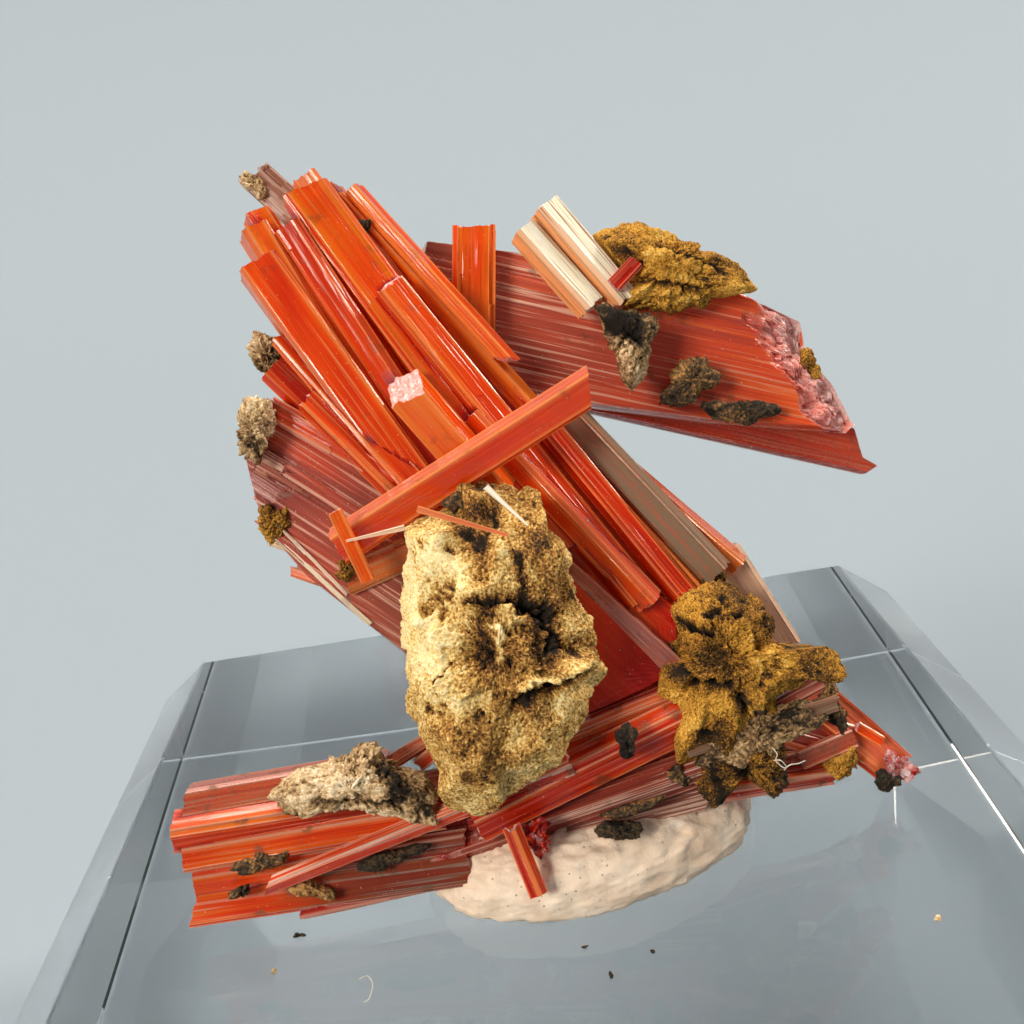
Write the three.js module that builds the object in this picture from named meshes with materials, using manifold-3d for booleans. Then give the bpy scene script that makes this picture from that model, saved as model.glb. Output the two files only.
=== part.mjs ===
// A crocoite specimen, fixed with putty to a bevelled clear acrylic base.
// Millimetres, +Z up. The origin is the middle of the base's underside, and -Y is the specimen's front.
import * as THREE from "three";
import { mergeVertices } from "three/addons/utils/BufferGeometryUtils.js";
import Module from "manifold-3d";

// Driving dimensions.
const BASE_SIDE = 38;
const BASE_HEIGHT = 18;
const BASE_BEVEL = 3.5;
const PUTTY_HALF_LENGTH = 5.7;
const PUTTY_HALF_DEPTH = 3.3;
const PUTTY_HEIGHT = 2.2;
const PUTTY_CENTRE = [1.2, -3.4, BASE_HEIGHT];
const PUTTY_TURN = 8;
// Clear space that a piece keeps to the neighbour that it is fitted round.
const GAP = 0.3;
// The broad faces of the crystals look this way: to the front and a little up.
const FACE = new THREE.Vector3(0, -0.94, 0.34);
// Part of a prism's narrower side that the facets on its long edges take off.
const EDGE_FACET = 0.2;

const wasm = await Module();
wasm.setup();

const CROCOITE = { color: 0xd9400f, roughness: 0.25, metalness: 0 };
const DARK_CROCOITE = { color: 0x9c1f0c, roughness: 0.2, metalness: 0 };
const STRIATED_CROCOITE = { color: 0xa5563f, roughness: 0.35, metalness: 0 };
const PALE_CROCOITE = { color: 0xe9c79a, roughness: 0.4, metalness: 0 };
const LIMONITE = { color: 0xa8813a, roughness: 0.9, metalness: 0 };
const PALE_LIMONITE = { color: 0xc9b488, roughness: 0.9, metalness: 0 };
const DARK_LIMONITE = { color: 0x33271a, roughness: 0.85, metalness: 0 };
const ACRYLIC = { color: 0xdfe8ea, roughness: 0.04, metalness: 0 };
const PUTTY = { color: 0xd8c4b2, roughness: 0.75, metalness: 0 };

// A closed solid from a three.js geometry, whose seams are merged by position.
function solidOf(geometry) {
  geometry.deleteAttribute("normal");
  geometry.deleteAttribute("uv");
  const merged = mergeVertices(geometry, 1e-4);
  const vertProperties = new Float32Array(merged.attributes.position.array);
  const triVerts = new Uint32Array(merged.index.array);
  return new wasm.Manifold(new wasm.Mesh({ numProp: 3, vertProperties, triVerts }));
}

// A three.js geometry from a solid.
function geometryOf(solid) {
  const mesh = solid.getMesh();
  const geometry = new THREE.BufferGeometry();
  geometry.setAttribute("position", new THREE.BufferAttribute(mesh.vertProperties, 3));
  geometry.setIndex(new THREE.BufferAttribute(mesh.triVerts, 1));
  geometry.computeVertexNormals();
  return geometry;
}

// Moves each vertex of a geometry to where the given function puts it.
function reshape(geometry, move) {
  const places = geometry.attributes.position;
  const point = new THREE.Vector3();
  for (let i = 0; i < places.count; i += 1) {
    point.fromBufferAttribute(places, i);
    move(point);
    places.setXYZ(i, point.x, point.y, point.z);
  }
  return geometry;
}

// The frame of a crystal: z runs from its foot to its tip, and y is the way its broad face looks.
function crystalFrame(foot, tip) {
  const along = tip.clone().sub(foot).normalize();
  const out = FACE.clone().addScaledVector(along, -FACE.dot(along)).normalize();
  const across = new THREE.Vector3().crossVectors(out, along);
  return new THREE.Matrix4().makeBasis(across, out, along).setPosition(foot);
}

// The outline of a prism's section: a box whose four corners are cut by narrow facets.
function sectionOutline(wide, deep) {
  const x = wide / 2;
  const y = deep / 2;
  const cut = EDGE_FACET * Math.min(wide, deep);
  const corners = [[x, y - cut], [x - cut, y], [cut - x, y], [-x, y - cut]];
  const rest = corners.map(([cornerX, cornerY]) => [-cornerX, -cornerY]);
  return new THREE.Shape([...corners, ...rest].map((corner) => new THREE.Vector2(...corner)));
}

// A striated prism from foot to tip. turn rolls it about its length, in degrees, taper is the size of
// its tip to its foot, and a slant pushes one side of an end along, in mm for each mm across.
function prism({ foot, tip, wide, deep, turn = 0, taper = 1, slant = 0, footSlant = 0 }) {
  return (grow) => {
    const start = new THREE.Vector3(...foot);
    const end = new THREE.Vector3(...tip);
    const length = start.distanceTo(end) + 2 * grow;
    const section = sectionOutline(wide + 2 * grow, deep + 2 * grow);
    const geometry = new THREE.ExtrudeGeometry(section, { depth: length, bevelEnabled: false });
    reshape(geometry, (point) => {
      const atTip = point.z > length / 2;
      if (atTip) point.multiply(new THREE.Vector3(taper, taper, 1));
      point.z += point.x * (atTip ? slant : footSlant) - grow;
    });
    geometry.rotateZ(THREE.MathUtils.degToRad(turn));
    geometry.applyMatrix4(crystalFrame(start, end));
    return solidOf(geometry);
  };
}

// A flat crystal cut to an outline of [along, across] points, in mm from its foot.
function plate({ foot, tip, outline, thick }) {
  return (grow) => {
    const start = new THREE.Vector3(...foot);
    const end = new THREE.Vector3(...tip);
    const centre = new THREE.Vector2();
    outline.forEach(([along, across]) => centre.add(new THREE.Vector2(across, along)));
    centre.divideScalar(outline.length);
    const corners = outline.map(([along, across]) => {
      const corner = new THREE.Vector2(across, along).sub(centre);
      return corner.setLength(corner.length() + grow).add(centre);
    });
    const depth = thick + 2 * grow;
    const geometry = new THREE.ExtrudeGeometry(new THREE.Shape(corners), { depth, bevelEnabled: false });
    geometry.translate(0, 0, -depth / 2);
    geometry.rotateX(Math.PI / 2);
    geometry.applyMatrix4(crystalFrame(start, end));
    return solidOf(geometry);
  };
}

// Joins crystals that grew into each other.
function joined(crystals) {
  return (grow) => crystals.map((crystal) => crystal(grow)).reduce((sum, next) => sum.add(next));
}

// How far the skin round some balls lies from the middle, in one direction. Each ball gives the
// distance at which the ray leaves it, and a high power mean takes the furthest with soft valleys.
function skinDistance(direction, balls) {
  const SOFTNESS = 10;
  let sum = 0;
  for (const { centre, radius } of balls) {
    const ahead = centre.dot(direction);
    const inside = radius * radius - centre.lengthSq() + ahead * ahead;
    const leaves = inside > 0 ? ahead + Math.sqrt(inside) : 0;
    sum += Math.max(leaves, 0.02) ** SOFTNESS;
  }
  return sum ** (1 / SOFTNESS);
}

// A lump of matrix: a rough skin round balls of [x, y, z, radius]. flat squeezes it from front to back.
function lump({ balls, flat = 0.8, rough = 0.07, detail = 4 }) {
  const middle = new THREE.Vector3();
  balls.forEach(([x, y, z]) => middle.add(new THREE.Vector3(x, y, z)));
  middle.divideScalar(balls.length);
  const local = balls.map(([x, y, z, radius]) => ({
    centre: new THREE.Vector3(x, y, z).sub(middle),
    radius,
  }));
  return (grow) => {
    const geometry = new THREE.IcosahedronGeometry(1, detail);
    reshape(geometry, (point) => {
      const direction = point.clone().normalize();
      const wave = Math.sin(9 * direction.x + 2) * Math.sin(8 * direction.y + 1);
      const ripple = Math.sin(19 * direction.z + 5 * direction.x) * Math.sin(17 * direction.y);
      const bumps = 1 + rough * (wave + 0.6 * ripple);
      point.copy(direction).multiplyScalar(skinDistance(direction, local) * bumps + grow);
      point.y *= flat;
    });
    geometry.translate(middle.x, middle.y, middle.z);
    return solidOf(geometry);
  };
}

// The base: a box whose upper ring is drawn in to make a 45 degree bevel.
function acrylicBase() {
  const geometry = new THREE.BoxGeometry(BASE_SIDE, BASE_SIDE, BASE_HEIGHT, 1, 1, 2);
  geometry.translate(0, 0, BASE_HEIGHT / 2);
  reshape(geometry, (point) => {
    const atTop = point.z === BASE_HEIGHT;
    const atMiddle = point.z === BASE_HEIGHT / 2;
    const drawn = 1 - (2 * BASE_BEVEL) / BASE_SIDE;
    if (atTop) point.multiply(new THREE.Vector3(drawn, drawn, 1));
    if (atMiddle) point.z = BASE_HEIGHT - BASE_BEVEL;
  });
  return solidOf(geometry);
}

// The putty: a squeezed round pad, turned from a profile and stretched to an oval.
function putty() {
  const profile = [[0, 0], [0.94, 0], [1, 0.3], [0.97, 0.6], [0.85, 0.88], [0.6, 1], [0, 1]];
  const points = profile.map(([radius, height]) => new THREE.Vector2(radius, height));
  const geometry = new THREE.LatheGeometry(points, 28);
  geometry.rotateX(Math.PI / 2);
  geometry.scale(PUTTY_HALF_LENGTH, PUTTY_HALF_DEPTH, PUTTY_HEIGHT);
  geometry.rotateZ(THREE.MathUtils.degToRad(PUTTY_TURN));
  geometry.translate(...PUTTY_CENTRE);
  return solidOf(geometry);
}

// The bundle that lies on the putty, from the broken left end to the thin right end.
const lowerBundle = joined([
  prism({ foot: [-3.2, -3.2, 22.3], tip: [-10.6, -4.0, 22.5], wide: 1.0, deep: 1.2, slant: 0.3 }),
  prism({ foot: [-2.4, -4.1, 21.8], tip: [-11.1, -4.6, 22.3], wide: 1.2, deep: 1.5, slant: 0.2 }),
  prism({ foot: [-1.6, -4.5, 21.3], tip: [-11.2, -4.9, 21.5], wide: 1.4, deep: 1.7, slant: -0.2 }),
  prism({ foot: [-1.8, -4.6, 20.8], tip: [-10.9, -4.9, 20.8], wide: 1.1, deep: 1.7 }),
  prism({ foot: [-2.2, -4.9, 20.0], tip: [-11.0, -5.1, 20.0], wide: 1.4, deep: 1.8, slant: 0.3 }),
  prism({ foot: [-2.2, -3.6, 20.8], tip: [-10.7, -3.9, 21.2], wide: 2.4, deep: 1.8 }),
  prism({ foot: [-2.2, -5.3, 22.0], tip: [-8.6, -5.9, 20.5], wide: 0.8, deep: 0.8, taper: 0.5 }),
  prism({ foot: [-2.6, -5.2, 19.5], tip: [-7.9, -5.6, 19.2], wide: 0.5, deep: 0.9 }),
  prism({ foot: [5.2, -3.5, 21.9], tip: [-2.8, -4.6, 21.1], wide: 1.6, deep: 1.9, footSlant: 0.4 }),
  prism({ foot: [3.6, -4.1, 20.6], tip: [-3.6, -4.8, 20.3], wide: 1.3, deep: 1.8 }),
  prism({ foot: [8.9, -3.6, 19.8], tip: [0.4, -4.3, 20.1], wide: 0.9, deep: 1.4 }),
  prism({ foot: [5.0, -4.3, 19.9], tip: [-2.2, -4.8, 19.9], wide: 1.3, deep: 1.2, taper: 0.6 }),
  prism({ foot: [5.6, -3.0, 23.1], tip: [-1.4, -4.0, 22.3], wide: 1.9, deep: 1.7, footSlant: -0.6 }),
  prism({ foot: [7.4, -2.6, 21.4], tip: [-2.6, -3.6, 21.1], wide: 2.2, deep: 1.9, taper: 0.9 }),
]);

// The main spray: prisms that fan out from the nodule's back to the top left.
const mainSpray = joined([
  prism({ foot: [-2.9, -0.9, 30.9], tip: [-6.4, 2.0, 37.7], wide: 1.0, deep: 1.3 }),
  prism({ foot: [-2.4, -0.6, 31.2], tip: [-6.2, 2.6, 39.0], wide: 1.1, deep: 1.6, slant: 0.2 }),
  prism({ foot: [-1.4, -0.9, 30.8], tip: [-5.2, 2.1, 38.5], wide: 1.0, deep: 1.3 }),
  prism({ foot: [1.8, -1.7, 28.0], tip: [-4.6, 2.8, 39.4], wide: 1.7, deep: 1.7, slant: 0.2 }),
  prism({ foot: [2.9, -1.1, 27.1], tip: [-4.1, 3.5, 39.1], wide: 1.5, deep: 1.6, slant: -0.2 }),
  prism({ foot: [5.8, -2.1, 26.0], tip: [-3.6, 3.2, 39.1], wide: 0.9, deep: 1.1, slant: 0.3 }),
  prism({ foot: [0.9, 0.5, 33.7], tip: [-3.1, 3.1, 39.3], wide: 0.7, deep: 1.2, footSlant: 0.8 }),
  prism({ foot: [3.8, -2.6, 26.3], tip: [-2.5, 1.0, 36.4], wide: 1.4, deep: 1.3 }),
  prism({ foot: [0.0, -1.9, 30.1], tip: [-2.3, -0.9, 33.5], wide: 1.1, deep: 1.0 }),
  prism({ foot: [4.1, -2.9, 26.3], tip: [-0.4, -0.6, 32.4], wide: 1.1, deep: 1.2 }),
  prism({ foot: [5.2, -2.5, 26.1], tip: [1.3, -0.4, 32.3], wide: 1.0, deep: 1.2 }),
  prism({ foot: [6.4, -2.0, 26.5], tip: [2.4, 0.1, 31.9], wide: 1.2, deep: 1.2 }),
  prism({ foot: [7.2, -1.4, 26.4], tip: [2.1, 0.7, 32.0], wide: 0.9, deep: 1.3, taper: 0.8 }),
  prism({ foot: [0.6, -0.6, 28.2], tip: [-5.4, 3.4, 38.2], wide: 2.0, deep: 1.8 }),
  prism({ foot: [5.0, -1.0, 25.8], tip: [-2.4, 2.5, 36.0], wide: 2.2, deep: 1.8, taper: 0.7 }),
]);

const weatheredCrystal = prism({
  foot: [-4.6, 3.6, 38.2],
  tip: [-6.3, 4.5, 40.2],
  wide: 1.1,
  deep: 0.8,
  slant: 0.3,
});

const crossingBar = prism({
  foot: [-4.9, -3.1, 29.7],
  tip: [3.1, -2.2, 33.1],
  wide: 1.2,
  deep: 1.1,
  slant: -0.3,
});

const leftFan = joined([
  plate({
    foot: [-2.3, -2.3, 29.0],
    tip: [-7.0, -0.4, 32.6],
    outline: [
      [6.4, -1.0], [1.9, -0.8], [0.3, -0.4], [-1.4, 3.2],
      [2.7, 2.8], [4.7, 2.2], [6.3, 0.7], [6.7, -0.3],
    ],
    thick: 0.9,
  }),
  prism({ foot: [-2.9, -1.4, 30.9], tip: [-6.5, 0.2, 33.3], wide: 0.7, deep: 1.6 }),
  prism({ foot: [-2.7, -1.9, 28.6], tip: [-7.0, -0.4, 31.8], wide: 1.0, deep: 1.6 }),
  prism({ foot: [-2.6, -2.4, 27.2], tip: [-6.9, -0.7, 30.4], wide: 1.1, deep: 1.5 }),
  prism({ foot: [-2.9, -2.8, 26.2], tip: [-6.2, -1.4, 28.8], wide: 0.7, deep: 1.1 }),
]);

const upperPlate = plate({
  foot: [0.0, 3.7, 35.0],
  tip: [11.0, 2.0, 31.0],
  outline: [
    [-2.0, 1.7], [1.2, 2.0], [8.7, 2.3], [9.6, 2.2], [10.9, 1.9], [11.3, 0.9],
    [12.4, 0.1], [13.4, -1.1], [13.2, -1.4], [8.6, -2.1], [4.3, -2.5], [-0.7, -2.8], [-1.9, -0.4],
  ],
  thick: 1.6,
});

// The taper grows out from behind the plate, so that its face stands further back than the plate's.
const redTaper = plate({
  foot: [2.5, 3.6, 31.3],
  tip: [12.4, 2.2, 27.6],
  outline: [[-1.5, 1.5], [10.0, 1.4], [10.5, 0.5], [11.2, 0.3], [10.8, -0.1], [0.7, -0.2], [-1.5, 0.1]],
  thick: 1.2,
});

const uprightStub = prism({ foot: [-0.1, 2.0, 34.0], tip: [0.5, 3.4, 37.5], wide: 1.4, deep: 0.9 });
const paleCrystalLong = prism({ foot: [4.9, 1.8, 34.7], tip: [2.8, 2.8, 37.9], wide: 0.9, deep: 0.9 });
const paleCrystalShort = prism({ foot: [3.8, 1.6, 34.7], tip: [2.0, 2.5, 37.3], wide: 0.9, deep: 0.8 });

const rearRedCrystal = joined([
  plate({
    foot: [4.7, -2.6, 24.6],
    tip: [1.8, -1.1, 27.7],
    outline: [[4.6, 0.0], [4.3, -0.4], [0.8, -1.0], [-0.6, 0.4], [-0.3, 1.4], [0.6, 3.4], [4.2, 1.6]],
    thick: 1.6,
  }),
  prism({ foot: [4.6, -3.0, 25.0], tip: [1.8, -1.6, 27.9], wide: 1.2, deep: 0.5, taper: 0.5 }),
]);

const barFootCrystal = prism({ foot: [-2.9, -2.6, 29.0], tip: [-4.9, -2.8, 28.5], wide: 1.0, deep: 0.6 });
const tabletCrystal = prism({ foot: [-4.1, -4.1, 28.9], tip: [-4.7, -3.7, 31.0], wide: 0.4, deep: 0.3 });
const peachCrystal = prism({ foot: [8.4, -1.7, 23.4], tip: [6.9, -0.7, 26.6], wide: 1.0, deep: 1.0 });
const brownDustyCrystal = prism({ foot: [4.4, -4.9, 22.2], tip: [9.3, -4.2, 22.6], wide: 0.5, deep: 0.5 });
const rightEndCrystal = prism({
  foot: [8.2, -2.1, 22.6],
  tip: [11.5, -3.2, 19.4],
  wide: 1.3,
  deep: 1.2,
  taper: 0.7,
});
const puttyCrystal = prism({ foot: [-1.1, -6.1, 21.2], tip: [-0.6, -7.0, 19.4], wide: 0.6, deep: 0.6 });

const needles = [
  prism({ foot: [-4.5, -4.1, 30.2], tip: [-2.8, -4.0, 30.3], wide: 0.15, deep: 0.15 }),
  prism({ foot: [-2.3, -4.3, 30.9], tip: [0.1, -4.8, 29.9], wide: 0.18, deep: 0.18 }),
  prism({ foot: [-0.3, -3.9, 31.1], tip: [0.7, -4.5, 30.0], wide: 0.18, deep: 0.18 }),
];

const limoniteNodule = lump({
  balls: [
    [-1.0, -3.3, 28.8, 2.0], [-0.5, -3.6, 27.4, 2.2], [-0.6, -4.1, 25.8, 2.5],
    [-0.6, -4.4, 24.6, 2.4], [-1.6, -4.8, 23.2, 1.4], [-0.3, -4.7, 23.4, 1.5],
  ],
  flat: 0.85,
});
const rightMatrix = lump({
  balls: [
    [5.8, -3.0, 25.2, 1.3], [6.4, -3.2, 24.6, 1.4], [6.1, -3.7, 23.5, 1.2],
    [5.6, -4.3, 22.4, 0.8], [7.6, -3.3, 23.9, 0.9], [8.8, -3.2, 24.1, 0.7],
  ],
});
const plateMatrix = lump({
  balls: [
    [5.5, 2.5, 35.8, 1.0], [6.5, 2.4, 35.5, 1.0], [7.6, 2.2, 35.1, 0.8],
    [8.4, 2.1, 34.8, 0.5], [4.8, 2.6, 36.2, 0.5], [5.8, 2.0, 34.9, 0.6],
  ],
  flat: 0.9,
});
const cavityMatrix = lump({
  balls: [[4.6, 1.2, 33.9, 0.8], [4.9, 1.0, 33.1, 0.7], [4.8, 0.8, 32.4, 0.5]],
  detail: 3,
});
const bundleMatrix = lump({
  balls: [
    [-7.5, -5.1, 22.6, 0.7], [-6.5, -5.0, 22.9, 0.9], [-5.4, -4.9, 23.1, 1.0],
    [-4.5, -5.2, 22.6, 0.9], [-3.7, -5.6, 21.9, 0.6],
  ],
});
const greyLump = lump({ balls: [[-6.6, 1.8, 34.8, 0.7], [-6.3, 1.5, 34.2, 0.6]], detail: 3 });
const porousLump = lump({ balls: [[-7.0, -1.1, 32.9, 0.7], [-7.0, -1.4, 32.2, 0.6]], detail: 3 });
const hangingMatrix = lump({ balls: [[7.0, -4.8, 20.8, 0.8], [5.8, -5.2, 20.9, 0.7]], detail: 3 });
const endMatrix = lump({ balls: [[9.4, -3.7, 19.9, 0.7], [9.1, -3.3, 20.5, 0.6]], detail: 3 });
const blackCrumb = lump({ balls: [[1.7, -5.8, 20.4, 0.5], [2.4, -5.8, 20.4, 0.5]], detail: 2 });

// Every piece in the order in which it is fitted: each keeps clear of those before it.
const PIECES = [
  ["lower_bundle", lowerBundle, CROCOITE],
  ["main_spray", mainSpray, CROCOITE],
  ["weathered_crystal", weatheredCrystal, STRIATED_CROCOITE],
  ["crossing_bar", crossingBar, CROCOITE],
  ["bar_foot_crystal", barFootCrystal, STRIATED_CROCOITE],
  ["left_fan", leftFan, STRIATED_CROCOITE],
  ["upper_plate", upperPlate, STRIATED_CROCOITE],
  ["red_taper", redTaper, DARK_CROCOITE],
  ["upright_stub", uprightStub, CROCOITE],
  ["pale_crystal_long", paleCrystalLong, PALE_CROCOITE],
  ["pale_crystal_short", paleCrystalShort, PALE_CROCOITE],
  ["rear_red_crystal", rearRedCrystal, DARK_CROCOITE],
  ["peach_crystal", peachCrystal, CROCOITE],
  ["brown_dusty_crystal", brownDustyCrystal, STRIATED_CROCOITE],
  ["right_end_crystal", rightEndCrystal, CROCOITE],
  ["putty_crystal", puttyCrystal, CROCOITE],
  ["tablet_crystal", tabletCrystal, CROCOITE],
  ...needles.map((needle, i) => [`needle_${i + 1}`, needle, PALE_CROCOITE]),
  ["limonite_nodule", limoniteNodule, PALE_LIMONITE],
  ["right_matrix", rightMatrix, LIMONITE],
  ["plate_matrix", plateMatrix, LIMONITE],
  ["cavity_matrix", cavityMatrix, DARK_LIMONITE],
  ["bundle_matrix", bundleMatrix, PALE_LIMONITE],
  ["grey_lump", greyLump, PALE_LIMONITE],
  ["porous_lump", porousLump, PALE_LIMONITE],
  ["hanging_matrix", hangingMatrix, LIMONITE],
  ["end_matrix", endMatrix, LIMONITE],
  ["black_crumb", blackCrumb, DARK_LIMONITE],
  ["mounting_putty", putty, PUTTY],
];

// The largest of the separate bodies that a cut leaves.
function mainBody(solid) {
  return solid.decompose().reduce((most, next) => (next.volume() > most.volume() ? next : most));
}

function namedMesh(name, solid, finish) {
  const mesh = new THREE.Mesh(geometryOf(solid), new THREE.MeshStandardMaterial(finish));
  mesh.name = name;
  return mesh;
}

const specimen = new THREE.Group();
specimen.add(namedMesh("acrylic_base", acrylicBase(), ACRYLIC));
const fitted = [];
for (const [name, build, finish] of PIECES) {
  const solid = fitted.reduce((left, grown) => left.subtract(grown), build(0));
  specimen.add(namedMesh(name, mainBody(solid), finish));
  fitted.push(build(GAP));
}

export default specimen;
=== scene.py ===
# %% [markdown]
# # A crocoite specimen on a clear base
# Crocoite grows as long orange-red prisms that are striated along their length. This lesson builds one
# small specimen: crossed bundles of prisms, lumps of earthy limonite between them, a pad of putty
# and the clear bevelled block that it stands on. Nearly every shape here is a formula on a grid of two
# parameters, worked out by numpy for the whole grid at once and handed to Blender as a mesh.

# %% Load the frame
import math

import bpy
import numpy as np
from mathutils import Matrix


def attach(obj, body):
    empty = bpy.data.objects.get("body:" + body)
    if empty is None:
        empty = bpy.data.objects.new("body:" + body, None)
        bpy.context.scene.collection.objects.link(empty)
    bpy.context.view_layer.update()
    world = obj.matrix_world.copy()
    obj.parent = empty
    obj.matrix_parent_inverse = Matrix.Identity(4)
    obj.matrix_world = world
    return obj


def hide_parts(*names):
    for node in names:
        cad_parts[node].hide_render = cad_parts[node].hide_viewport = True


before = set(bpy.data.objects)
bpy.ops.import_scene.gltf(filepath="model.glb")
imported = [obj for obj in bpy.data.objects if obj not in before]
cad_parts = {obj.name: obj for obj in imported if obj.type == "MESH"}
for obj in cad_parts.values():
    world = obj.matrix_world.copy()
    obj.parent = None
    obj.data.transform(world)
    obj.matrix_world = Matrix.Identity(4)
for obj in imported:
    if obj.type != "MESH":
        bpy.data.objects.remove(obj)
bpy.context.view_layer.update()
print("CAD nodes:", len(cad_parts))

# %% [markdown]
# ## Camera
# The specimen is only a few centimetres across, so the camera stands a few centimetres away. That makes
# the near edge of the base spread and the far edge shrink. It looks down by 20 degrees and is rolled a
# little, which is why the base seems to lean. The near clipping distance has to be small as well, or
# Blender would cut the specimen away.

# %% Camera
MM = 0.001
CAMERA_PLACE = np.array([0.32, -35.0, 41.5]) * MM
CAMERA_PITCH = math.radians(19.9)
CAMERA_ROLL = math.radians(8.7)
CAMERA_LENS = 40.43
SENSOR = 36.0


def unit(vector):
    """The same direction with a length of one."""
    return np.asarray(vector, float) / np.linalg.norm(vector)


def placed(right, up, back, place):
    """A 4 by 4 matrix whose columns are three directions and a place."""
    matrix = np.eye(4)
    matrix[:3] = np.stack([right, up, back, place], 1)
    return Matrix(matrix)


def make_camera():
    """A camera that looks along +Y, tipped down by the pitch and then turned about its own view line."""
    forward = np.array([0, math.cos(CAMERA_PITCH), -math.sin(CAMERA_PITCH)])
    down = np.array([0, -math.sin(CAMERA_PITCH), -math.cos(CAMERA_PITCH)])
    side = np.array([1.0, 0, 0])
    right = math.cos(CAMERA_ROLL) * side + math.sin(CAMERA_ROLL) * down
    up = math.sin(CAMERA_ROLL) * side - math.cos(CAMERA_ROLL) * down
    data = bpy.data.cameras.new("camera")
    data.lens = CAMERA_LENS
    data.sensor_width = SENSOR
    data.clip_start = 1 * MM
    camera = bpy.data.objects.new("camera", data)
    bpy.context.scene.collection.objects.link(camera)
    camera.matrix_world = placed(right, up, -forward, CAMERA_PLACE)
    return camera


bpy.context.scene.camera = make_camera()
print("camera height over the floor, mm:", round(float(CAMERA_PLACE[2] / MM), 1))

# %% [markdown]
# ## From arrays to meshes
# Every new piece ends in the same way: corner points in millimetres, faces as rows of corner numbers,
# and a few named attributes that the materials read. `foreach_set` hands over whole arrays, which is
# much faster than adding corners one by one. A surface is kept as a dictionary until then, so that it
# can still be joined to others.

# %% Mesh helpers
def add_surface(name, surface, smooth=False):
    """A mesh object from a surface: points in mm, quads, triangles, and marks with a value per point."""
    mesh = bpy.data.meshes.new(name)
    quads = np.asarray(surface["quads"], np.int32).reshape(-1, 4)
    triangles = np.asarray(surface.get("triangles", ()), np.int32).reshape(-1, 3)
    corners = np.concatenate([quads.ravel(), triangles.ravel()])
    sizes = np.concatenate([np.full(len(quads), 4), np.full(len(triangles), 3)])
    mesh.vertices.add(len(surface["points"]))
    mesh.vertices.foreach_set("co", (np.asarray(surface["points"]) * MM).astype(np.float32).ravel())
    mesh.loops.add(len(corners))
    mesh.loops.foreach_set("vertex_index", corners.astype(np.int32))
    mesh.polygons.add(len(sizes))
    mesh.polygons.foreach_set("loop_start", (np.cumsum(sizes) - sizes).astype(np.int32))
    mesh.polygons.foreach_set("use_smooth", np.full(len(sizes), smooth))
    mesh.update(calc_edges=True)
    mesh.validate()
    for key, values in surface.get("marks", {}).items():
        values = np.asarray(values, np.float32)
        kind, field = ("FLOAT_VECTOR", "vector") if values.ndim == 2 else ("FLOAT", "value")
        mesh.attributes.new(key, kind, "POINT").data.foreach_set(field, values.ravel())
    piece = bpy.data.objects.new(name, mesh)
    bpy.context.scene.collection.objects.link(piece)
    return piece


def wrapped_rows(rows, columns, first=0):
    """Quads of a grid whose columns close round on themselves. Points are numbered row by row."""
    here = np.arange(columns)
    beside = (here + 1) % columns
    low = first + np.arange(rows - 1)[:, None] * columns
    high = low + columns
    return np.stack([low + here, low + beside, high + beside, high + here], -1).reshape(-1, 4)


def fan(rim_start, columns, pole, flip=False):
    """Triangles that close a ring of points to one pole."""
    here = rim_start + np.arange(columns)
    beside = rim_start + (np.arange(columns) + 1) % columns
    pair = (beside, here) if flip else (here, beside)
    return np.stack([*pair, np.full(columns, pole)], 1)


def turned(points, degrees):
    """Points of a plane, turned anticlockwise about the origin."""
    c, s = math.cos(math.radians(degrees)), math.sin(math.radians(degrees))
    return points @ np.array([[c, s], [-s, c]])


def unit_rows(points):
    """Each row scaled to a length of one."""
    return points / np.maximum(np.linalg.norm(points, axis=1, keepdims=True), 1e-6)


print("quads round a tube of 4 rings with 6 points each:", len(wrapped_rows(4, 6)))

# %% [markdown]
# ## Noise that numpy can work out
# A natural surface needs noise in the mesh and not only in the material. A sum of sine waves with random
# directions gives soft hills. Folding it at zero turns its valleys into creases, and adding finer
# copies on top gives rock. Cells measure how far a point is from the nearest of many scattered seeds,
# which gives flat chips with sharp borders.

# %% Noise
SEED_BLOCK = 4000


def ripples(points, size, seed, waves=18):
    """Soft noise from about -1 to 1: the mean of sines whose directions and phases are random."""
    rng = np.random.default_rng(seed)
    directions = rng.normal(size=(waves, points.shape[-1]))
    directions /= np.linalg.norm(directions, axis=1, keepdims=True)
    rates = 2 * np.pi / size * rng.uniform(0.6, 1.6, waves)
    phases = rng.uniform(0, 2 * np.pi, waves)
    return np.sin(points @ (directions * rates[:, None]).T + phases).sum(-1) / math.sqrt(waves / 2) / 1.6


def folded(points, size, seed, layers=4, keep=0.55):
    """Creased noise: each layer is 1 less twice its size, half as wide and keep times as high."""
    return sum(keep**k * (1 - 2 * np.abs(ripples(points, size / 2**k, seed + k))) for k in range(layers))


def chips(points, size, seed):
    """Distance to the nearest scattered seed, and that seed's random height from -1 to 1."""
    rng = np.random.default_rng(seed)
    low, high = points.min(0) - size, points.max(0) + size
    count = int(np.clip(np.prod((high - low) / size), 8, 2200))
    seeds = rng.uniform(low, high, (count, points.shape[-1]))
    heights = rng.uniform(-1, 1, count)
    nearest = np.empty(len(points), int)
    for start in range(0, len(points), SEED_BLOCK):
        block = points[start : start + SEED_BLOCK]
        nearest[start : start + SEED_BLOCK] = ((seeds**2).sum(1) - 2 * block @ seeds.T).argmin(1)
    return np.linalg.norm(points - seeds[nearest], axis=1) / size, heights[nearest]


sample = ripples(np.random.default_rng(0).uniform(0, 9, (2000, 3)), 1.0, 0)
print("ripples run from", round(float(sample.min()), 2), "to", round(float(sample.max()), 2))

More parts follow.
